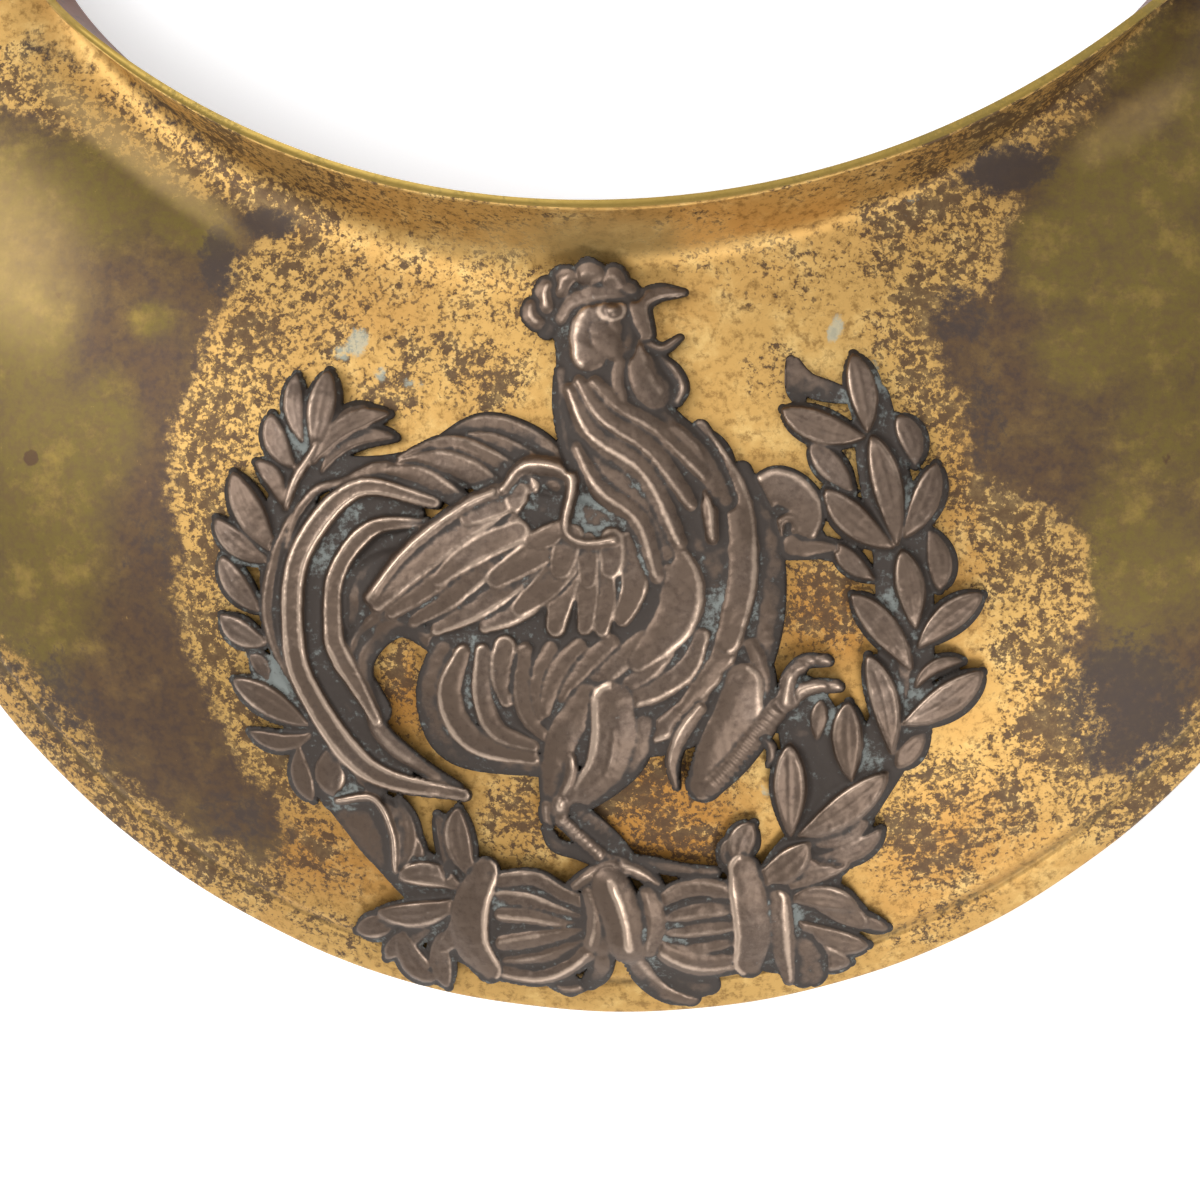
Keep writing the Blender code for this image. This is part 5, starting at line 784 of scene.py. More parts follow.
# Rows of the border: distance from the edge and height over the dome, in millimetres
BORDER_ROWS = (
    (0.0, -0.06), (0.12, 0.0), (0.35, 0.03), (0.8, 0.05), (1.3, 0.06), (1.8, 0.06), (2.1, 0.04),
    (2.25, 0.0), (2.38, -0.12), (2.52, -0.2), (2.68, -0.22), (2.84, -0.2), (2.98, -0.12), (3.12, 0.02),
    (3.25, 0.07), (3.45, 0.08), (3.7, 0.05), (4.0, 0.01), (4.4, 0.0),
)


def plate_rows(t, plain, dome_count):
    """Front of the sheet as rows from the outer edge to the rim, one column for each station."""
    edge, fold, rim = station_places(t)
    span = np.hypot(*(fold - edge).T)
    toward = (fold - edge) / span[:, None]
    fade = 1.0 - smooth(FLANGE_FADE_START, 1.0, np.abs(t))
    reach = FILLET_REACH * (FILLET_TIP_SHARE + (1.0 - FILLET_TIP_SHARE) * fade)
    dome_end = span - reach
    squeeze = np.clip(span / BORDER_FULL_SPAN, NARROWEST_BORDER, 1.0)
    rows = []
    across = []
    for inset, lift in BORDER_ROWS:
        plan = edge + toward * (inset * MM * squeeze)[:, None]
        high = dome_height(plan[:, 0], plan[:, 1]) + (0.0 if plain else lift * MM)
        rows.append(np.column_stack([plan, high]))
        across.append(inset * squeeze)
    first = BORDER_ROWS[-1][0] * MM * squeeze
    for share in np.linspace(0.0, 1.0, dome_count + 1)[1:-1]:
        inset = first + (dome_end - first) * share
        plan = edge + toward * inset[:, None]
        rows.append(np.column_stack([plan, dome_height(plan[:, 0], plan[:, 1])]))
        across.append(inset / MM)
    start = edge + toward * dome_end[:, None]
    start = np.column_stack([start, dome_height(start[:, 0], start[:, 1])])
    corner = np.column_stack([fold, dome_height(fold[:, 0], fold[:, 1])])
    tall = FLANGE_TIP_HEIGHT + (FLANGE_HEIGHT - FLANGE_TIP_HEIGHT) * fade
    top = np.column_stack([rim, corner[:, 2] + tall])
    bend_end = corner + (top - corner) * FILLET_RISE
    for u in np.linspace(0.0, 1.0, BEND_ROWS):
        rows.append((1.0 - u) ** 2 * start + 2.0 * u * (1.0 - u) * corner + u * u * bend_end)
        across.append(np.full(len(t), BEND_MARK + u))
    for u in np.linspace(0.0, 1.0, FLANGE_ROWS + 1)[1:]:
        rows.append(bend_end + (top - bend_end) * u)
        across.append(np.full(len(t), FLANGE_MARK + u))
    return np.array(rows), np.array(across)


def grid_normals(grid):
    """Unit normals of a grid of places, pointing to the front."""
    normal = np.cross(np.gradient(grid, axis=1), np.gradient(grid, axis=0))
    return normal / np.linalg.norm(normal, axis=2)[:, :, None]


def corners_of(grid):
    """Values at the four corners of every face of a grid: two low ones, then the two above them."""
    return grid[:-1, :-1], grid[:-1, 1:], grid[1:, :-1], grid[1:, 1:]


def mark_corners(points, faces):
    """Mark the four corners of every chosen face."""
    for up, right in ((0, 0), (0, 1), (1, 0), (1, 1)):
        points[up:points.shape[0] - 1 + up, right:points.shape[1] - 1 + right] |= faces


def grid_faces(rows, columns, flip=False):
    """Four-sided faces over a grid of vertices."""
    number = np.arange(rows * columns).reshape(rows, columns)
    low_left, low_right, high_left, high_right = corners_of(number)
    corners = [low_left, low_right, high_right, high_left]
    if flip:
        corners.reverse()
    return np.stack([c.ravel() for c in corners], axis=1)


def make_mesh(name, places, faces, values=None):
    """Object from arrays of places and four-sided faces, with named values for its vertices."""
    mesh = bpy.data.meshes.new(name)
    mesh.vertices.add(len(places))
    mesh.vertices.foreach_set("co", np.ascontiguousarray(places, np.float32).ravel())
    mesh.loops.add(len(faces) * 4)
    mesh.loops.foreach_set("vertex_index", np.ascontiguousarray(faces, np.int32).ravel())
    mesh.polygons.add(len(faces))
    mesh.polygons.foreach_set("loop_start", np.arange(0, len(faces) * 4, 4, dtype=np.int32))
    mesh.polygons.foreach_set("use_smooth", np.ones(len(faces), bool))
    for key, value in (values or {}).items():
        layer = mesh.attributes.new(key, "FLOAT", "POINT")
        layer.data.foreach_set("value", np.ascontiguousarray(value, np.float32))
    mesh.update(calc_edges=True)
    mesh.validate()
    made = bpy.data.objects.new(name, mesh)
    bpy.context.scene.collection.objects.link(made)
    return made


# Relief of the badge

def curve_through(places, steps):
    """Smooth line through four places."""
    p = np.array(places, float).reshape(-1, 2)
    q = np.vstack([2.0 * p[0] - p[1], p, 2.0 * p[-1] - p[-2]])
    parts = []
    for i in range(1, len(p)):
        a, b, c, d = q[i - 1], q[i], q[i + 1], q[i + 2]
        t = np.linspace(0.0, 1.0, steps, endpoint=(i == len(p) - 1))[:, None]
        parts.append(0.5 * (2.0 * b + (c - a) * t + (2.0 * a - 5.0 * b + 4.0 * c - d) * t ** 2
                            + (3.0 * b - a - 3.0 * c + d) * t ** 3))
    return np.vstack(parts)


def follow(x, y, line):
    """Distance from a line, share of the way along it, the side and the line's length, for every place."""
    best = np.full(x.shape, FAR_AWAY)
    share = np.zeros(x.shape)
    side = np.ones(x.shape)
    step = np.diff(line, axis=0)
    length = np.hypot(step[:, 0], step[:, 1])
    before = np.concatenate([[0.0], np.cumsum(length)])
    for i, (dx, dy) in enumerate(step):
        along = (x - line[i, 0]) * dx + (y - line[i, 1]) * dy
        t = np.clip(along / (dx * dx + dy * dy + LEAST_LENGTH), 0.0, 1.0)
        ex = x - line[i, 0] - t * dx
        ey = y - line[i, 1] - t * dy
        away = np.hypot(ex, ey)
        near = away < best
        best = np.where(near, away, best)
        share = np.where(near, (before[i] + t * length[i]) / before[-1], share)
        side = np.where(near, np.sign(dy * ex - dx * ey), side)
    return best, share, side, before[-1]


def half_width(share, start, middle, end):
    """Half width along a stroke from its three stated values."""
    return (start * (1.0 - share) * (1.0 - 2.0 * share) + 4.0 * middle * share * (1.0 - share)
            + end * share * (2.0 * share - 1.0))


def joined(rows):
    """Join each row whose name ends in end to the row before it, as one longer stroke."""
    strokes = []
    for row in rows:
        places, widths = list(row[1:9]), list(row[9:12])
        if row[0].endswith(" end"):
            strokes[-1][1] += places[2:]
            strokes[-1][2] += widths[1:]
        else:
            strokes.append([row[0], places, widths, row[12:17]])
    return strokes


class Finish:
    """How a family of strokes is finished, in shares of its crown."""

    def __init__(self, barbs=0.0, slant=0.0, ribs=0.0, twin=0.0, lip=0.0, flat=2.4):
        self.barbs = barbs
        self.slant = slant
        self.ribs = ribs
        self.twin = twin
        self.lip = lip
        self.flat = flat


# Barbs are fine slanting lines, ribs run straight across, twin is a second ridge on the other side,
# lip is a thin raised edge all round, flat is how square the section is.
FINISHES = {
    "sickle": Finish(barbs=0.1, slant=0.7, twin=0.9, flat=5.0),
    "primary": Finish(barbs=0.16, slant=1.1, flat=3.0),
    "secondary": Finish(barbs=0.08, slant=0.9, lip=0.4, flat=4.0),
    "covert": Finish(barbs=0.08, slant=0.9, lip=0.4, flat=4.0),
    "wing sheet": Finish(barbs=0.5, slant=0.9, flat=6.0),
    "neck sheet": Finish(flat=6.0),
    "body sheet": Finish(barbs=0.4, slant=0.9, flat=6.0),
    "flank 3": Finish(barbs=0.08, lip=0.4, flat=4.0),
    "flank": Finish(barbs=0.06, slant=1.0),
    "belly": Finish(barbs=0.12, slant=0.6),
    "breast 5": Finish(barbs=0.14, slant=1.4, flat=3.0),
    "breast": Finish(barbs=0.06, slant=1.0, flat=2.6),
    "saddle": Finish(barbs=0.14, slant=0.8),
    "tail": Finish(barbs=0.1, slant=0.8),
    "inner": Finish(barbs=0.2, slant=1.0),
    "far thigh": Finish(barbs=0.1, slant=1.2, flat=3.0),
    "far wing": Finish(barbs=0.08, slant=0.9, flat=3.0),
    "socket": Finish(lip=0.6, flat=5.0),
    "shank": Finish(ribs=0.3),
    "raised shank": Finish(ribs=0.3),
    "left pleat": Finish(barbs=0.12, slant=2.4),
    "right pleat": Finish(barbs=0.12, slant=2.4),
}
PLAIN = Finish()

# Height of a stroke for a crown of one, and the spacing of barbs and ribs in the badge's units
STROKE_LIFT = 1.3
BARB_SPACING = 8.0
RIB_SPACING = 9.0


def finish_of(name):
    """Finish of the first family whose name begins the stroke's name."""
    for key, values in FINISHES.items():
        if name.startswith(key):
            return values
    return PLAIN


class Relief:
    """Raised drawing of the badge on a grid; its units are thousandths of the badge's width."""

    def __init__(self, pitch):
        self.pitch = pitch
        self.xs = np.arange(-GRID_MARGIN, GRID_WIDTH + GRID_MARGIN, pitch)
        self.ys = np.arange(-GRID_MARGIN, GRID_TALL + GRID_MARGIN, pitch)
        self.x, self.y = np.meshgrid(self.xs, self.ys)
        self.base = np.zeros(self.x.shape)
        self.height = np.zeros(self.x.shape)
        self.crest = np.zeros(self.x.shape)
        self.inside = np.full(self.x.shape, FAR_OUTSIDE)
        self.owner = np.zeros(self.x.shape, int)

    def patch(self, line, reach):
        """Part of the grid within reach of a line."""
        low = line.min(axis=0) - reach
        high = line.max(axis=0) + reach
        i0, i1 = np.searchsorted(self.xs, [low[0], high[0]])
        j0, j1 = np.searchsorted(self.ys, [low[1], high[1]])
        return slice(max(j0 - 1, 0), j1 + 1), slice(max(i0 - 1, 0), i1 + 1)

    def put(self, at, where, height, crest, owner):
        """Paint a shape over what lies below it."""
        self.height[at] = np.where(where, height, self.height[at])
        self.crest[at] = np.where(where, crest, self.crest[at])
        self.owner[at] = np.where(where, owner, self.owner[at])

    def swell(self, places, widths, height):
        """Raise the ground of the drawing along a line."""
        line = curve_through(places, SWELLING_STEPS)
        at = self.patch(line, max(widths) + 2.0)
        away, share, _, _ = follow(self.x[at], self.y[at], line)
        c = away / np.maximum(half_width(share, *widths), 1e-3)
        self.base[at] = np.maximum(self.base[at], height * np.clip(1.0 - c * c, 0.0, 1.0) ** 0.75)

    def stroke(self, name, places, widths, level, crown, tilt, ridge_place, ridge, owner):
        """Paint one stroke: a rounded band with its ridges, lip, barbs or ribs."""
        line = curve_through(places, STROKE_STEPS)
        at = self.patch(line, max(widths) * 1.6 + 6.0)
        away, share, side, length = follow(self.x[at], self.y[at], line)
        if len(widths) == 3:
            wide = np.maximum(half_width(share, *widths), 1.3)
        else:
            wide = np.interp(share, np.linspace(0.0, 1.0, len(widths)), widths)
        c = away / wide
        across = side * c
        kind = finish_of(name)
        form = np.clip(1.0 - c ** kind.flat, 0.0, 1.0) ** 0.6 * (1.0 + tilt * across)
        fade = np.clip((1.0 - c) * 5.0, 0.0, 1.0)
        # The crest is the bright colour of the ridge: wear with a painted highlight where the lights would
        # shine
        crest = ridge * bump_at(across, ridge_place, RIDGE_WIDTH)
        crest = (crest + kind.twin * ridge * bump_at(across, -ridge_place, RIDGE_WIDTH)) * fade
        crest = crest + kind.lip * bump_at(c, LIP_PLACE, LIP_WIDTH)
        form = form + crest
        along = share * length
        inner = np.clip(3.0 * (1.0 - c), 0.0, 1.0)
        if kind.barbs:
            wave = np.sin(2.0 * math.pi * (along - kind.slant * away) / BARB_SPACING)
            form = form + kind.barbs * wave * inner * np.clip(2.0 * c, 0.0, 1.0)
        if kind.ribs:
            form = form + kind.ribs * np.sin(2.0 * math.pi * along / RIB_SPACING) * inner
        height = self.base[at] + level + STROKE_LIFT * crown * form
        self.put(at, c < 1.0, height, crest / WEAR_AND_HIGHLIGHT_RIDGE, owner)
        self.inside[at] = np.maximum(self.inside[at], wide - away)

    def leaf(self, tip_x, tip_y, base_x, base_y, wide, bend, level, crown, owner):
        """Paint one leaf: a dished blade with a lip, a middle vein and fine side veins, on a soft bed."""
        middle_x = (tip_x + base_x) / 2.0 - bend * (base_y - tip_y)
        middle_y = (tip_y + base_y) / 2.0 + bend * (base_x - tip_x)
        t = np.linspace(0.0, 1.0, 20)[:, None]
        a = np.array([tip_x, tip_y], float)
        c = np.array([base_x, base_y], float)
        b = 2.0 * np.array([middle_x, middle_y]) - 0.5 * (a + c)
        line = (1.0 - t) ** 2 * a + 2.0 * t * (1.0 - t) * b + t * t * c
        at = self.patch(line, wide * 1.8 + 10.0)
        away, share, side, length = follow(self.x[at], self.y[at], line)
        half = wide * np.clip(np.sin(np.pi * np.clip(share, 0.0, 1.0) ** 0.85), 0.0, 1.0) ** 0.82 + 1.8
        out = away - half
        under = self.base[at] + level - 0.1 - 0.04 * np.maximum(out, 0.0)
        skirt = (out < LEAF_SKIRT) & (under > self.height[at])
        self.put(at, skirt, under, 0.0, owner)
        c = away / half
        lit = np.where(side > 0, 1.0, 0.35)
        lip = bump_at(c, LIP_PLACE, LIP_WIDTH)
        spoon = (LEAF_HOLLOW + LEAF_DISH * smooth(0.15, 0.75, c) + LEAF_LIP * lip * (0.5 + 0.5 * lit)
                 + LEAF_VEIN * bump_at(c, 0.0, 0.12))
        lift = 1.0 + LEAF_TIP_RISE * (1.0 - share)
        wave = np.sin(2.0 * math.pi * (share * length - 0.9 * away) / SIDE_VEIN_SPACING)
        vein = SIDE_VEINS * wave * smooth(0.1, 0.4, c) * (1.0 - smooth(0.7, 0.9, c))
        form = np.clip(1.0 - c ** 6, 0.0, 1.0) ** 0.8 * (spoon * lift + vein)
        # Bright colour of the lip and vein: wear with a painted highlight, stronger on the lit side
        crest = lip * lit * (0.4 + 0.6 * bump_at(share, 0.15, 0.35))
        crest = crest + 0.25 * bump_at(c, 0.0, 0.13) * smooth(0.1, 0.3, share)
        self.put(at, c < 1.0, self.base[at] + level + STROKE_LIFT * crown * form, crest, owner)
        self.inside[at] = np.maximum(self.inside[at], LEAF_SKIRT - out)


COCK_PIECE = 1
WREATH_PIECE = 2


def badge_relief(pitch, softness):
    """Paint the whole badge, low shapes first."""
    art = Relief(pitch)
    for row in SWELLINGS:
        art.swell(row[1:9], row[9:12], row[12])
    art.base = soften(art.base, BASE_SOFTNESS / pitch)
    for row in GROUND:
        owner = COCK_PIECE if row[0] == "cock" else WREATH_PIECE
        art.stroke("ground", row[1:9], row[9:12], GROUND_LEVEL, 0.0, 0.0, 0.0, 0.0, owner)
    for row in LEAVES:
        art.leaf(*row, WREATH_PIECE)
    for owner, rows in ((COCK_PIECE, COCK), (WREATH_PIECE, BOW)):
        for name, places, widths, shape in joined(rows):
            art.stroke(name, places, widths, *shape, owner)
    solid = art.inside > 0.0
    fine = melt(art.height, solid, softness / pitch)
    broad = melt(art.height, solid, BROAD_TIMES * softness / pitch)
    art.height = np.where(solid, FINE_SHARE * fine + BROAD_SHARE * broad, art.height)
    art.crest = soften(art.crest, softness / pitch)
    dents = 0.025 * cloud(art.x.shape, 6.0 / pitch, 3)
    grain = 0.01 * cloud(art.x.shape, 1.2, 4)
    art.height = art.height + dents + grain
    return art


def melt(values, solid, reach):
    """Soften values inside the outline without letting the empty ground pull them down."""
    weight = soften(solid.astype(float), reach)
    return soften(np.where(solid, values, 0.0), reach) / np.maximum(weight, 0.05)


def tidy_faces(keep):
    """Fill pin holes and corner touches, and drop loose scraps, so that the sheet of faces is one piece."""
    keep = keep.copy()
    for _ in range(4):
        wide = np.pad(keep, 1)
        around = wide[:-2, 1:-1].astype(int) + wide[2:, 1:-1] + wide[1:-1, :-2] + wide[1:-1, 2:]
        keep = (keep & (around > 1)) | (around == 4)
    for _ in range(30):
        a, b, c, d = corners_of(keep)
        cross = (a & d & ~b & ~c) | (b & c & ~a & ~d)
        if not cross.any():
            break
        mark_corners(keep, cross)
    return keep


def badge_values(art):
    """Named values for the badge's surface: ridges bright with wear and a painted highlight, recesses dark
    with tarnish and painted shade, the deposit that lies in them, and the rim painted as shade.
    """
    solid = art.inside > 0.0
    fine = art.height - melt(art.height, solid, FINE_REACH / art.pitch)
    broad = art.height - melt(art.height, solid, BROAD_REACH / art.pitch)
    # Bright ridge colour: wear together with painted highlights along the chosen crests
    ridge = np.clip(art.crest, 0.0, 1.0) * 0.8 + np.clip(fine / 0.16 - 0.25, 0.0, 1.0) * 0.22
    ridge = ridge + np.clip(broad / 0.7, 0.0, 1.0) * 0.12
    recess = np.clip(-fine / 0.13, 0.0, 1.0) * 0.65 + np.clip(-broad / 0.5, 0.0, 1.0) * 0.6
    deposit = np.zeros(art.x.shape)
    for x, y, reach, amount in DEPOSITS:
        deposit = np.maximum(deposit, amount * np.exp(-((art.x - x) ** 2 + (art.y - y) ** 2) / reach ** 2))
    deposit = deposit * smooth(0.15, 0.6, recess)
    # Painted shade: the rim is a dark band inside the outline of every shape, at the foot of the relief
    rim = 1.0 - smooth(0.0, RIM_WIDTH, art.inside)
    return {"ridge": np.clip(ridge, 0.0, 1.0), "recess": np.clip(recess, 0.0, 1.0),
            "deposit": deposit, "rim": rim}


def badge_piece(name, art, faces, values):
    """Mesh of one part of the badge: relief in front and a wall down to the plate along its outline."""
    gy, gx = np.gradient(art.inside, art.pitch)
    size = np.maximum(gx * gx + gy * gy, 0.3)
    near = np.abs(art.inside) < SNAP_SHARE * art.pitch
    x = art.x - np.where(near, art.inside * gx / size, 0.0)
    y = art.y - np.where(near, art.inside * gy / size, 0.0)
    used = np.zeros(art.x.shape, bool)
    mark_corners(used, faces)
    px = BADGE_LEFT + x[used] * UNIT
    py = BADGE_BOTTOM + y[used] * UNIT
    back = sheet_height(px, py) + BADGE_GAP * steepness(px, py)
    front = back + BADGE_GROUND + relief_height() * np.clip(art.height[used], -0.2, None)
    count = int(used.sum())
    number = np.full(art.x.shape, -1)
    number[used] = np.arange(count)
    a, b, d, c = (corner[faces] for corner in corners_of(number))
    quads = [np.stack([a, b, c, d], axis=1)]
    whole = np.pad(art.solid_faces, 1)
    at = np.nonzero(faces)
    open_below = ~whole[:-2, 1:-1][at]
    open_above = ~whole[2:, 1:-1][at]
    open_left = ~whole[1:-1, :-2][at]
    open_right = ~whole[1:-1, 2:][at]
    pairs = ((b, a, open_below), (d, c, open_above), (a, d, open_left), (c, b, open_right))
    wall = np.concatenate([np.stack([p[k], q[k]], axis=1) for p, q, k in pairs])
    edge_vertices = np.unique(wall)
    lower = np.full(count, -1)
    lower[edge_vertices] = count + np.arange(len(edge_vertices))
    quads.append(np.stack([wall[:, 0], wall[:, 1], lower[wall[:, 1]], lower[wall[:, 0]]], axis=1))
    places = np.column_stack([px, py, front])
    foot = np.column_stack([px, py, back])[edge_vertices]
    places = np.vstack([places, foot]) + np.array(CENTRE)
    kept = {}
    # The walls along the outline keep the rim and recess values, so they take the painted shade and the
    # dark of the recesses, but no ridge colour or deposit
    for key, value in values.items():
        v = value[used]
        kept[key] = np.concatenate([v, v[edge_vertices] * (0.0 if key in ("ridge", "deposit") else 1.0)])
    return make_mesh(name, places, np.concatenate(quads), kept)


# Surfaces

def tone(red, green, blue):
    """Colour given as it looks on a screen, 0 to 255, turned into light."""
    def one(v):
        v = v / 255.0
        return v / 12.92 if v <= 0.04045 else ((v + 0.055) / 1.055) ** 2.4
    return one(red), one(green), one(blue)


# Colours of the details
PALE_GILDING = tone(226, 194, 128)
# Colour of the painted sheen: highlights, reflections and light painted on the gilding
PAINTED_SHEEN_GILDING = tone(212, 180, 118)
GRAIN_BROWN = tone(118, 86, 42)
FILM_DARK = tone(70, 54, 46)
FILM_LIGHT = tone(120, 92, 54)
OLIVE_DARK = tone(98, 78, 44)
OLIVE_LIGHT = tone(160, 132, 64)
SPECK_BROWN = tone(70, 50, 36)
# Black of the tarnish stains, also used as painted shade along the upper left rim
STAIN_AND_SHADE_BLACK = tone(62, 50, 44)
VERDIGRIS = tone(172, 178, 162)
SPOT_BROWN = tone(70, 44, 34)
GROOVE_BROWN = tone(96, 78, 50)
RIM_BRASS = tone(150, 128, 60)
INSIDE_LIGHT = tone(120, 78, 40)
INSIDE_DARK = tone(40, 24, 16)
SILVER_LIGHT = tone(112, 98, 88)
SILVER_DARK = tone(74, 60, 52)
# Dark of the recesses: tarnish in the hollows, and painted shade
RECESS_DARK = tone(44, 38, 34)
# Painted shadow along the outline of the badge
PAINTED_OUTLINE_SHADE = tone(40, 34, 30)
DEPOSIT_GREY = tone(134, 140, 136)
STUD_DARK = tone(60, 44, 30)

# Sockets of the colour kind of the mix node: factor, first and second colour, and result
MIX_SOCKETS = (0, 6, 7)
MIX_RESULT = 2


class Shade:
    """A socket that takes part in sums: each operator adds the Math node that it needs."""

    def __init__(self, sheet, socket):
        self.sheet = sheet
        self.socket = socket

    def _math(self, operation, other):
        return self.sheet.node("ShaderNodeMath", {"operation": operation}, {0: self, 1: other})

    def __add__(self, other):
        return self._math("ADD", other)

    __radd__ = __add__

    def __sub__(self, other):
        return self._math("SUBTRACT", other)

    def __rsub__(self, other):
        return self.sheet.node("ShaderNodeMath", {"operation": "SUBTRACT"}, {0: other, 1: self})

    def __mul__(self, other):
        return self._math("MULTIPLY", other)

    __rmul__ = __mul__

    def clamp(self):
        """The same value, kept between 0 and 1."""
        return self.sheet.node("ShaderNodeClamp", {}, {"Value": self})

    def ease(self, low, high):
        """0 below low, 1 above high, and a smooth step between."""
        inputs = {"Value": self, "From Min": low, "From Max": high, "To Min": 0.0, "To Max": 1.0}
        return self.sheet.node("ShaderNodeMapRange", {"interpolation_type": "SMOOTHSTEP"}, inputs)


class Surface:
    """One material, built from expressions."""

    def __init__(self, name):
        self.material = bpy.data.materials.new(name)
        self.material.use_nodes = True
        self.tree = self.material.node_tree
        self.shader = self.tree.nodes["Principled BSDF"]
        self.place = self.node("ShaderNodeTexCoord", {}, {}, "Object")

    def join(self, socket, value):
        """Link a shade to a socket, or give the socket a plain number or colour."""
        if isinstance(value, Shade):
            self.tree.links.new(value.socket, socket)
        else:
            socket.default_value = (*value, 1.0) if isinstance(value, tuple) else value

    def node(self, kind, settings, inputs, output=0):
        """Add a node: its settings first, then values or links for its sockets."""
        made = self.tree.nodes.new(kind)
        for key, value in settings.items():
            setattr(made, key, value)
        for key, value in inputs.items():
            self.join(made.inputs[key], value)
        return Shade(self, made.outputs[output])

    def value(self, name):
        """A value that the mesh carries on its vertices."""
        return self.node("ShaderNodeAttribute", {"attribute_name": name}, {}, "Fac")

    def noise(self, size, detail=3.0, rough=0.55, distortion=0.0):
        """Cloudy noise, 0 to 1; size is that of its blobs in metres."""
        inputs = {"Vector": self.place, "Scale": 0.5 / size, "Detail": detail, "Roughness": rough,
                  "Distortion": distortion}
        return self.node("ShaderNodeTexNoise", {}, inputs, "Fac")

    def mix(self, first, second, factor):
        """Colour between two colours."""
        made = self.tree.nodes.new("ShaderNodeMix")
        made.data_type = "RGBA"
        for number, value in zip(MIX_SOCKETS, (factor, first, second)):
            self.join(made.inputs[number], value)
        return Shade(self, made.outputs[MIX_RESULT])

    def bump(self, height, distance, strength):
        """Normals of a fine roughness; distance is its height in metres."""
        inputs = {"Height": height, "Distance": distance, "Strength": strength}
        return self.node("ShaderNodeBump", {}, inputs)

    def finish(self, **sockets):
        """Set the shader's own sockets; underscores in a name stand for spaces."""
        for key, value in sockets.items():
            self.join(self.shader.inputs[key.replace("_", " ")], value)
        return self.material


def gilding(s, look, clouds, patches, grains):
    """Colour of the clean gilding: redder near the badge, paler in patches, with fine brown grain."""
    redder = (s.value("deep") * 0.9 + clouds.ease(0.4, 0.75) * 0.35).clamp()
    gold = s.mix(tuple(look.gold), tuple(look.deep_gold), redder)
    gold = s.mix(gold, PALE_GILDING, patches.ease(0.46, 0.72) * 0.6)
    return s.mix(gold, GRAIN_BROWN, grains.ease(0.46, 0.66) * 0.7)


def tarnish_film(s, look, clouds, patches, grains):
    """Colour of the tarnish: brown, and mustard where the olive stains lie."""
    brown = s.mix(tuple(look.tarnish_colour), FILM_DARK, grains.ease(0.38, 0.68))
    brown = s.mix(brown, FILM_LIGHT, patches.ease(0.46, 0.8) * 0.6)
    mustard = s.mix(tuple(look.olive), OLIVE_DARK, grains.ease(0.36, 0.68))
    mustard = s.mix(mustard, OLIVE_LIGHT, patches.ease(0.48, 0.8) * 0.6)
    olive = (s.value("olive") * 1.15 + (clouds - 0.5) + (patches - 0.5) * 0.8).ease(-0.15, 0.85)
    return s.mix(brown, mustard, olive)


def tarnish_cover(s, look, patches, grains):
    """How far the tarnish covers the gilding: a soft film with a ragged crust in it."""
    area = s.value("tarnish")
    film = (area + (patches - 0.5) * 1.1 + (grains - 0.5) * 0.7).ease(0.3, 0.8) * look.tarnish
    crust = (area + (patches - 0.5) * 0.9 + (grains - 0.5) * 1.6).ease(0.5, 0.62) * look.tarnish
    return (film * 0.55 + crust * 0.45).clamp()


def speck_cover(s, look, patches, grains, cover):
    """Dark specks of two sizes, fewer where the tarnish lies."""
    speck = s.value("speck")
    dots = s.noise(0.0002, 3.0, 0.6)
    level = speck * 0.2 + (patches - 0.5) * 0.5
    coarse = (grains + level).ease(0.65, 0.71) * speck.ease(0.04, 0.25)
    fine = (dots + level * 0.8).ease(0.6, 0.68) * speck.ease(0.02, 0.25)
    return (coarse + fine * 0.8).clamp() * look.tarnish * (1.0 - cover * 0.7)


def gilt_surface(look):
    """Worn gilding: gold under a thin brown and olive film, with dark specks and green spots, pale painted
    sheen, and painted shade along the rim at the upper left.
    """
    s = Surface("gilt_brass")
    clouds = s.noise(0.006, 6.0, 0.62, 0.4)
    patches = s.noise(0.0019, 6.0, 0.7)
    grains = s.noise(0.00042, 5.0, 0.72)
    gold = gilding(s, look, clouds, patches, grains)
    cover = tarnish_cover(s, look, patches, grains)
    colour = s.mix(gold, tarnish_film(s, look, clouds, patches, grains), cover)
    specks = speck_cover(s, look, patches, grains, cover)
    colour = s.mix(colour, SPECK_BROWN, specks * 0.85)
    # Black tarnish stains, and painted shade under the lip along the upper left rim
    black = (s.value("black") + (patches - 0.5) * 1.1 + (grains - 0.5) * 1.2).ease(0.4, 0.75) * look.tarnish
    colour = s.mix(colour, STAIN_AND_SHADE_BLACK, black * 0.8)
    green = (s.value("verdigris") + (grains - 0.5) * 1.6 + (patches - 0.5)).ease(0.4, 0.8)
    colour = s.mix(colour, VERDIGRIS, green * 0.6)
    colour = s.mix(colour, SPOT_BROWN, (s.value("spot") + (grains - 0.5) * 0.4).ease(0.4, 0.6) * 0.7)
    colour = s.mix(colour, GROOVE_BROWN, s.value("groove") * (0.35 + patches.ease(0.4, 0.6) * 0.4))
    colour = s.mix(colour, RIM_BRASS, s.value("rim") * 0.8)
    # Painted sheen: pale highlights, reflections and light laid into the colour where the pale kind lies
    painted_sheen = (s.value("pale") + (patches - 0.5) * 0.4).ease(0.1, 1.1)
    colour = s.mix(colour, PAINTED_SHEEN_GILDING, painted_sheen * 0.55)
    dull = (cover * 0.6 + specks * 0.6 + black * 0.6 + green).clamp()
    height = grains * 0.35 - specks * 0.5 + patches * 0.5 - cover * 0.3
    rough = 0.5 + dull * 0.05 + (patches - 0.5) * 0.16
    return s.finish(Base_Color=colour, Metallic=0.74 - dull * 0.3, Roughness=rough,
                    Normal=s.bump(height, 0.00005, 0.5))


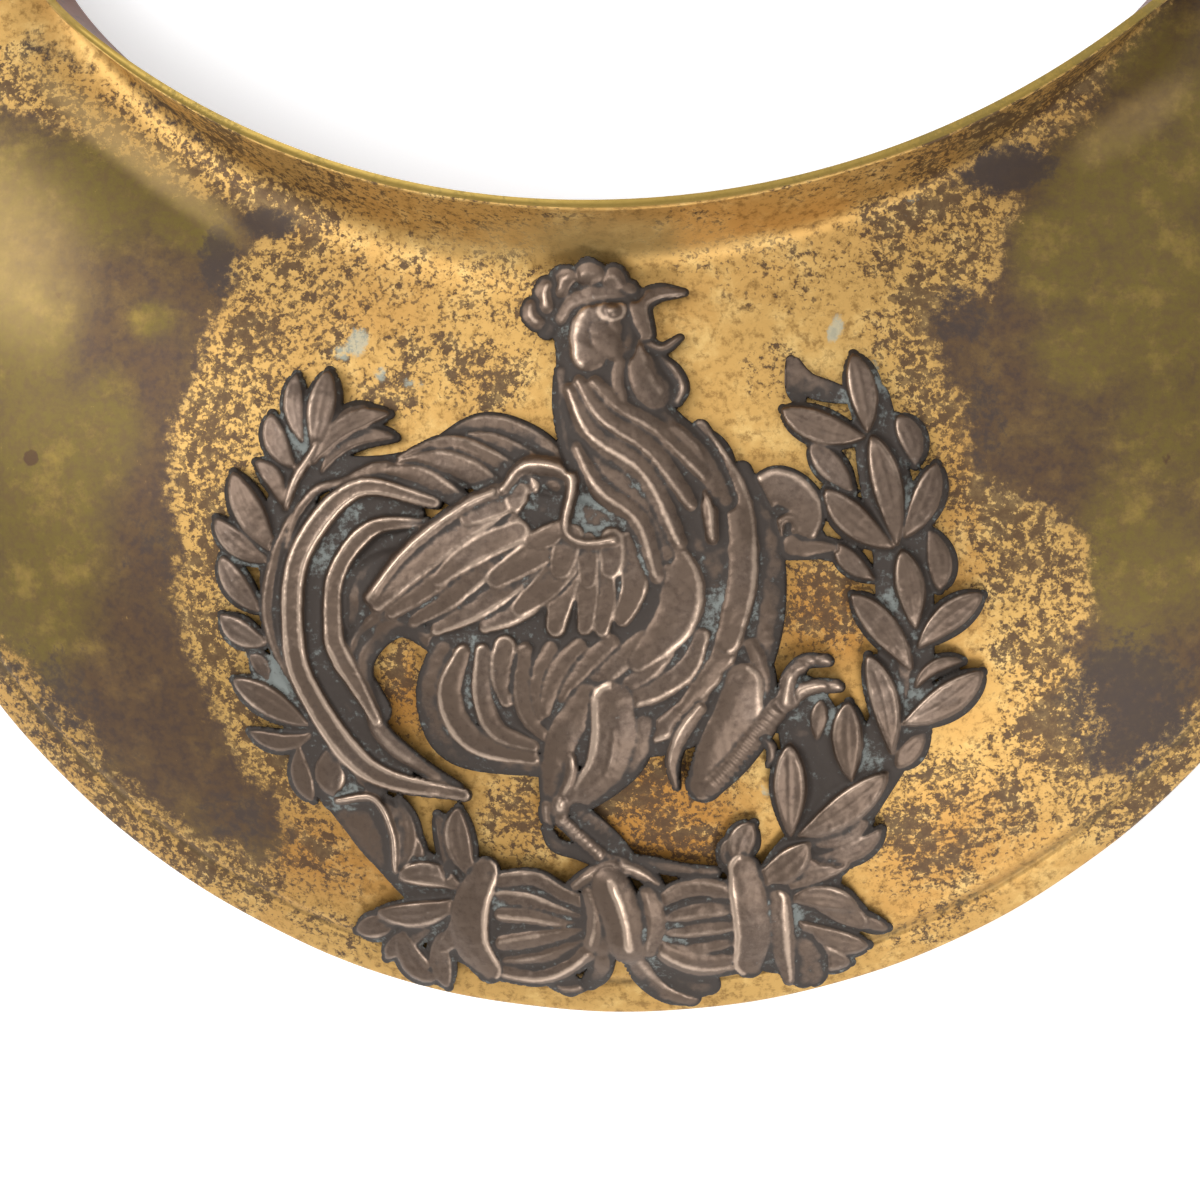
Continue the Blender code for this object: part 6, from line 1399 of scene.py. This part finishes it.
def back_surface(look):
    """Ungilded inside of the plate: dark red-brown."""
    s = Surface("plate_inside")
    clouds = s.noise(0.008, 5.0, 0.6)
    grains = s.noise(0.0006, 4.0, 0.65)
    colour = s.mix(tuple(look.inside), INSIDE_LIGHT, clouds.ease(0.5, 0.75) * 0.6)
    colour = s.mix(colour, INSIDE_DARK, grains.ease(0.52, 0.66) * 0.6)
    return s.finish(Base_Color=colour, Metallic=0.7, Roughness=0.42 + clouds * 0.2,
                    Normal=s.bump(grains, 0.00005, 0.4))


def silver_surface(look, name):
    """Struck silvered metal: brown tarnish, ridges bright with wear and a painted highlight, recesses dark
    with tarnish and painted shade, pale deposit, and a painted shadow along the outline.
    """
    s = Surface(name)
    recess = s.value("recess")
    clouds = s.noise(0.0035, 5.0, 0.6)
    grains = s.noise(0.0003, 4.0, 0.65)
    body = s.mix(tuple(look.silver), SILVER_LIGHT, clouds.ease(0.45, 0.72) * 0.5)
    body = s.mix(body, SILVER_DARK, (grains * 0.6 + clouds * 0.4).ease(0.46, 0.66) * 0.6)
    # Ridges lighter: wear together with painted highlights
    wear_and_highlight = (s.value("ridge") * 1.05 + (grains - 0.5) * 0.7 + (clouds - 0.5) * 1.2).ease(0.22, 0.92)
    colour = s.mix(body, tuple(look.wear_and_highlight_silver), wear_and_highlight * look.wear)
    # Darker in the recesses: tarnish in the hollows together with painted shade
    low = (recess * 1.3 + (grains - 0.5) * 0.4).ease(0.12, 0.75)
    colour = s.mix(colour, RECESS_DARK, low * 0.85)
    # Painted shadow along the foot of the relief and on its walls
    colour = s.mix(colour, PAINTED_OUTLINE_SHADE, s.value("rim") * 0.45)
    pale = s.value("deposit") * 0.9 + recess * 0.35 + (grains - 0.5) * 2.4 + (clouds - 0.5)
    pale = pale.ease(0.42, 1.1)
    colour = s.mix(colour, DEPOSIT_GREY, pale * 0.7)
    dull = (low + pale).clamp()
    rough = 0.42 - wear_and_highlight * 0.08 + dull * 0.25
    return s.finish(Base_Color=colour, Metallic=0.86 - dull * 0.5, Roughness=rough,
                    Normal=s.bump(grains, 0.00004, 0.6))


def stud_surface(look):
    """Brass of the studs, partly olive with tarnish."""
    s = Surface("stud_brass")
    clouds = s.noise(0.002, 5.0, 0.6)
    grains = s.noise(0.0003, 4.0, 0.65)
    colour = s.mix(tuple(look.gold), tuple(look.olive), clouds.ease(0.4, 0.7) * 0.7)
    colour = s.mix(colour, STUD_DARK, grains.ease(0.56, 0.68) * 0.7)
    return s.finish(Base_Color=colour, Metallic=0.9, Roughness=0.34 + clouds * 0.15,
                    Normal=s.bump(grains, 0.00003, 0.4))


def floor_surface(look):
    """Plain pale floor that glows a little."""
    s = Surface("pale_floor")
    return s.finish(Base_Color=tuple(look.floor), Roughness=0.9, Emission_Color=(1.0, 1.0, 1.0),
                    Emission_Strength=look.floor_glow)


# Sizes and colours that a user would change

def colour_setting(name, description, default):
    """Colour that a user can change."""
    return bpy.props.FloatVectorProperty(name=name, description=description, default=default, size=3,
                                         min=0.0, max=1.0, subtype="COLOR")


def share_setting(name, description, default):
    """Share from 0 to 1 that a user can change."""
    return bpy.props.FloatProperty(name=name, description=description, default=default,
                                   min=0.0, max=1.0, subtype="FACTOR")


def length_setting(name, description, default, low, high):
    """Length in metres that a user can change."""
    return bpy.props.FloatProperty(name=name, description=description, default=default,
                                   min=low, max=high, precision=6, unit="LENGTH")


def power_setting(name, description, default):
    """Power of a light in watts that a user can change."""
    return bpy.props.FloatProperty(name=name, description=description, default=default,
                                   min=0.0, max=100.0, unit="POWER")


class GorgetPlateLook(bpy.types.PropertyGroup):
    """Fineness and finish of the gilt plate."""
    stations: bpy.props.IntProperty(
        name="Stations", description="Columns of the plate's mesh along the crescent",
        default=420, min=60, max=600)
    rows: bpy.props.IntProperty(
        name="Rows", description="Rows of the plate's mesh across the dome",
        default=84, min=20, max=140)
    unevenness: length_setting(
        "Unevenness", "Height of the soft hand-made waves in the sheet", 0.00004, 0.0, 0.0005)
    tarnish: share_setting("Tarnish", "Strength of the stains and specks", 1.0)
    gold: colour_setting("Gilding", "Colour of the polished gilding", tone(190, 152, 88))
    deep_gold: colour_setting(
        "Deep gilding", "Colour of the redder gilding near the badge", tone(172, 122, 58))
    olive: colour_setting("Olive tarnish", "Colour of the cloudy yellow-green tarnish", tone(104, 88, 38))
    tarnish_colour: colour_setting("Brown tarnish", "Colour of the dark bands", tone(88, 66, 44))
    inside: colour_setting("Inside", "Colour of the side towards the wearer", tone(92, 50, 30))


class GorgetBadgeLook(bpy.types.PropertyGroup):
    """Fineness and finish of the silvered badge."""
    pitch: length_setting(
        "Grid", "Distance between the points of the badge's mesh", 0.000128, 0.0001, 0.001)
    relief: length_setting("Relief", "Height of one step of the relief", 0.00085, 0.0, 0.0015)
    softness: length_setting("Softness", "How far the wear has rounded the relief", 0.00012, 0.0, 0.001)
    # Brightness of the ridges, which carry wear and a painted highlight
    wear: share_setting("Wear", "Brightness of the worn ridges", 0.8)
    silver: colour_setting("Tarnished silver", "Colour of the badge's body", tone(100, 84, 72))
    # Colour of the ridges: silver bared by wear, with a painted highlight
    wear_and_highlight_silver: colour_setting("Worn silver", "Colour of the rubbed ridges", tone(192, 168, 148))


class GorgetStageLook(bpy.types.PropertyGroup):
    """Floor, light and camera."""
    floor: colour_setting("Floor", "Colour of the floor", (0.97, 0.97, 0.97))
    floor_glow: share_setting("Floor glow", "Light given off by the floor, as under a light table", 0.35)
    daylight: bpy.props.FloatProperty(
        name="Surrounding light", description="Brightness of the even light all round",
        default=0.65, min=0.0, max=5.0)
    key: power_setting("Main light", "Power of the soft light at the upper left", 3.3)
    top: power_setting("Upper light", "Power of the broad light over the camera", 2.6)
    fill: power_setting("Side light", "Power of the soft light from the lower right", 2.7)


def relief_height():
    """Height of one step of the relief, as the user set it."""
    return bpy.context.scene.gorget_badge.relief


def inside_depth(outline, x, y):
    """Distance in millimetres inside an outline, negative outside it."""
    points = np.array(outline, float)
    away = distance_to(np.vstack([points, points[:1]]), x, y)
    inside = np.zeros(np.shape(x), bool)
    for (ax, ay), (bx, by) in zip(points, np.roll(points, -1, axis=0)):
        crosses = (ay > y) != (by > y)
        rise = by - ay if by != ay else TINY
        inside ^= crosses & (x < (bx - ax) * (y - ay) / rise + ax)
    return np.where(inside, away, -away)


def stain_values(x, y):
    """Amount of each kind of stain, and of the painted sheen of the pale kind, at places in plan, measured
    from the centre of the outline circle.
    """
    x = x / MM
    y = y / MM
    made = {kind: np.zeros(np.shape(x)) for kind in STAIN_KINDS}
    for kind, right, up, long, wide, turn, amount in STAINS:
        c = math.cos(math.radians(turn))
        s = math.sin(math.radians(turn))
        u = ((x - right) * c + (y - up) * s) / long
        v = (-(x - right) * s + (y - up) * c) / wide
        made[kind] = np.maximum(made[kind], amount * np.exp(-(u * u + v * v) ** 1.5))
    depth = np.maximum.reduce([inside_depth(outline, x, y) for _, outline in AREAS])
    made["tarnish"] = smooth(-AREA_EDGE, AREA_EDGE, depth)
    made["speck"] = np.maximum(made["speck"], BELT_AMOUNT * bump_at(depth, BELT_PLACE, BELT_WIDTH))
    return made


def sheet_edge(front, back):
    """Rows that round off an edge of the sheet between its front and its back."""
    thick = back - front
    out = np.cross(thick, np.gradient(front, axis=0))
    out = out / np.maximum(np.linalg.norm(out, axis=1), TINY)[:, None]
    rows = []
    for k in np.linspace(0.0, 1.0, EDGE_ROWS + 2)[1:-1]:
        rows.append(front + thick * k + out * EDGE_ROUNDING * math.sin(math.pi * k))
    return np.array(rows)


def closed_ends(front, back, across):
    """The three grids with columns added at both horns, where the front turns round to the back."""
    parts = ([], [])
    for last, before, side in ((0, 1, 0), (-1, -2, 1)):
        away = front[:, last] - front[:, before]
        away = away / np.maximum(np.linalg.norm(away, axis=1), TINY)[:, None]
        thick = back[:, last] - front[:, last]
        for k in END_COLUMNS:
            parts[side].append(front[:, last] + thick * k + away * EDGE_ROUNDING * math.sin(math.pi * k))
    front = np.concatenate([np.stack(parts[0][::-1], axis=1), front, np.stack(parts[1], axis=1)], axis=1)
    added = ((0, 0), (len(END_COLUMNS), len(END_COLUMNS)))
    return front, np.pad(back, (*added, (0, 0)), mode="edge"), np.pad(across, added, mode="edge")


def sheet_grids(look):
    """Front of the sheet with its waves, plain inside, and distance of each place from the outer edge."""
    t = stations(look.stations)
    rows = look.rows
    front, across = plate_rows(t, False, rows)
    plain, _ = plate_rows(t, True, rows)
    normal = grid_normals(plain)
    waves = sum(np.sin(front[:, :, 0] / (wide * MM) + first) * np.sin(front[:, :, 1] / (tall * MM) + second)
                for wide, first, tall, second in WAVES)
    front = front + normal * (waves * look.unevenness)[:, :, None]
    return front, plain - normal * SHEET, across


def place_piece(piece, node):
    """Say which part of the frame a piece rides on and stands for."""
    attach(piece, "root")
    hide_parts(node)


def add_front(look, front, inner, across):
    """Finished side of the plate with its rounded edges, all round to the inside."""
    front, back, across = closed_ends(front, inner, across)
    grid = np.concatenate([back[:1], sheet_edge(back[0], front[0]), front, sheet_edge(front[-1], back[-1]),
                           back[-1:]])
    values = stain_values(grid[:, :, 0], grid[:, :, 1])
    first = EDGE_ROWS + 1
    distance = np.full(grid.shape[:2], EDGE_MARK)
    distance[first:first + len(front)] = across
    values["groove"] = bump_at(distance, GROOVE_PLACE, GROOVE_WIDTH)
    values["rim"] = np.zeros(grid.shape[:2])
    values["rim"][first + len(front):] = 1.0
    places = grid.reshape(-1, 3) + np.array(CENTRE)
    flat = {key: value.ravel() for key, value in values.items()}
    piece = make_mesh("gilt_front", places, grid_faces(*grid.shape[:2]), flat)
    piece.data.materials.append(gilt_surface(look))
    place_piece(piece, "plate")


def add_inside(look, inner):
    """Plain side of the plate towards the wearer."""
    places = inner.reshape(-1, 3) + np.array(CENTRE)
    piece = make_mesh("plate_inside", places, grid_faces(*inner.shape[:2], flip=True))
    piece.data.materials.append(back_surface(look))
    place_piece(piece, "plate")


class GORGET_OT_plate(bpy.types.Operator):
    """Build the gilt plate: the finished front with its border and rim, and the plain inside"""
    bl_idname = "gorget.plate"
    bl_label = "Plate"

    def execute(self, context):
        look = context.scene.gorget_plate
        front, inner, across = sheet_grids(look)
        add_front(look, front, inner, across)
        add_inside(look, inner)
        return {"FINISHED"}


class GORGET_OT_badge(bpy.types.Operator):
    """Build the silvered badge: the cock, and the wreath with its bow"""
    bl_idname = "gorget.badge"
    bl_label = "Badge"

    def execute(self, context):
        look = context.scene.gorget_badge
        pitch = look.pitch
        art = badge_relief(pitch / UNIT, look.softness / UNIT)
        solid = art.inside > 0.0
        near = solid | (np.abs(art.inside) < SNAP_SHARE * art.pitch)
        faces = np.logical_and.reduce(corners_of(near)) & np.logical_or.reduce(corners_of(solid))
        art.solid_faces = tidy_faces(faces)
        values = badge_values(art)
        votes = sum(corner.astype(int) for corner in corners_of(art.owner == COCK_PIECE))
        for name, chosen in (("badge_cock", votes >= 2), ("badge_wreath", votes < 2)):
            piece = badge_piece(name, art, art.solid_faces & chosen, values)
            piece.data.materials.append(silver_surface(look, name + "_silver"))
            place_piece(piece, "badge")
        return {"FINISHED"}


# Stud, from its foot behind the plate to the top of its head: radius and height in millimetres
STUD_PROFILE = (
    (0.0, -1.8), (1.7, -1.8), (2.0, -1.6), (2.0, -1.2), (1.1, -1.1), (1.1, 1.2), (2.2, 1.35), (2.75, 1.6),
    (2.9, 1.95), (2.8, 2.3), (2.5, 2.52), (1.8, 2.6), (0.0, 2.6),
)
STUD_SIDES = 64


def stud_grid(mount):
    """Rings of a stud whose head ends at a mount."""
    turn = np.array(Vector(mount["axis"]).to_track_quat("Z", "Y").to_matrix())
    angles = np.linspace(0.0, 2.0 * math.pi, STUD_SIDES + 1)
    top = STUD_PROFILE[-1][1]
    rings = []
    for radius, height in STUD_PROFILE:
        ring = np.stack([radius * MM * np.cos(angles), radius * MM * np.sin(angles),
                         np.full(len(angles), (height - top) * MM)], axis=1)
        rings.append(ring @ turn.T + np.array(Vector(mount["pos_m"])))
    return np.array(rings)


class GORGET_OT_studs(bpy.types.Operator):
    """Build the two studs near the horn tips"""
    bl_idname = "gorget.studs"
    bl_label = "Studs"

    def execute(self, context):
        metal = stud_surface(context.scene.gorget_plate)
        for node in ("stud_left", "stud_right"):
            mount = next(m for m in frame["record"]["mounts"] if m["name"] == node + "_face")
            grid = stud_grid(mount)
            piece = make_mesh(node + "_look", grid.reshape(-1, 3), grid_faces(*grid.shape[:2]))
            piece.data.materials.append(metal)
            place_piece(piece, node)
        return {"FINISHED"}


def add_floor(look):
    """Pale floor under the gorget."""
    half = FLOOR_HALF
    mesh = bpy.data.meshes.new("floor")
    corners = [(-half, -half, 0.0), (half, -half, 0.0), (half, half, 0.0), (-half, half, 0.0)]
    mesh.from_pydata(corners, [], [(0, 1, 2, 3)])
    floor = bpy.data.objects.new("floor", mesh)
    bpy.context.scene.collection.objects.link(floor)
    mesh.materials.append(floor_surface(look))


def add_world(look):
    """Even white light all round."""
    world = bpy.data.worlds.new("studio")
    world.use_nodes = True
    sky = world.node_tree.nodes["Background"]
    sky.inputs["Color"].default_value = (1.0, 1.0, 1.0, 1.0)
    sky.inputs["Strength"].default_value = look.daylight
    bpy.context.scene.world = world


def add_light(name, place, size, power):
    """Square soft light that faces the gorget."""
    light = bpy.data.lights.new(name, "AREA")
    light.energy = power
    light.size = size
    lamp = bpy.data.objects.new(name, light)
    lamp.location = place
    lamp.rotation_euler = (LIGHT_AIM - lamp.location).to_track_quat("-Z", "Y").to_euler()
    bpy.context.scene.collection.objects.link(lamp)


def add_camera():
    """Camera over the badge, leaning a little to the right."""
    tilt = math.radians(VIEW_TILT)
    back = Vector((math.sin(tilt), 0.0, math.cos(tilt)))
    lens = bpy.data.cameras.new("camera")
    lens.sensor_width = SENSOR
    lens.lens = SENSOR * VIEW_DISTANCE / VIEW_WIDTH
    lens.clip_start = NEAREST
    eye = bpy.data.objects.new("camera", lens)
    right = Vector((0.0, 1.0, 0.0)).cross(back).normalized()
    up = back.cross(right)
    turn = Matrix((right, up, back)).transposed()
    eye.matrix_world = Matrix.Translation(CENTRE + AIM + back * VIEW_DISTANCE) @ turn.to_4x4()
    bpy.context.scene.collection.objects.link(eye)
    bpy.context.scene.camera = eye


class GORGET_OT_stage(bpy.types.Operator):
    """Set up the floor, the light and the camera"""
    bl_idname = "gorget.stage"
    bl_label = "Stage"

    def execute(self, context):
        look = context.scene.gorget_stage
        add_floor(look)
        add_world(look)
        for name, place, size, power in LIGHTS:
            add_light(name, place, size, getattr(look, power))
        add_camera()
        context.scene.view_settings.view_transform = "Standard"
        return {"FINISHED"}


class GORGET_PT_sidebar(bpy.types.Panel):
    """Sizes, colours and building steps of the gorget"""
    bl_idname = "GORGET_PT_sidebar"
    bl_label = "Gorget"
    bl_space_type = "VIEW_3D"
    bl_region_type = "UI"
    bl_category = "Gorget"

    def draw(self, context):
        for group, steps in ((context.scene.gorget_plate, ("gorget.plate", "gorget.studs")),
                             (context.scene.gorget_badge, ("gorget.badge",)),
                             (context.scene.gorget_stage, ("gorget.stage",))):
            box = self.layout.box()
            for key in group.__annotations__:
                box.prop(group, key)
            for step in steps:
                box.operator(step)


CLASSES = (GorgetPlateLook, GorgetBadgeLook, GorgetStageLook, GORGET_OT_plate, GORGET_OT_badge,
           GORGET_OT_studs, GORGET_OT_stage, GORGET_PT_sidebar)


def register():
    for item in CLASSES:
        bpy.utils.register_class(item)
    bpy.types.Scene.gorget_plate = bpy.props.PointerProperty(type=GorgetPlateLook)
    bpy.types.Scene.gorget_badge = bpy.props.PointerProperty(type=GorgetBadgeLook)
    bpy.types.Scene.gorget_stage = bpy.props.PointerProperty(type=GorgetStageLook)


def unregister():
    del bpy.types.Scene.gorget_stage
    del bpy.types.Scene.gorget_badge
    del bpy.types.Scene.gorget_plate
    for item in reversed(CLASSES):
        bpy.utils.unregister_class(item)


def main():
    register()
    bpy.ops.gorget.plate()
    bpy.ops.gorget.badge()
    bpy.ops.gorget.studs()
    bpy.ops.gorget.stage()


if __name__ == "__main__":
    main()
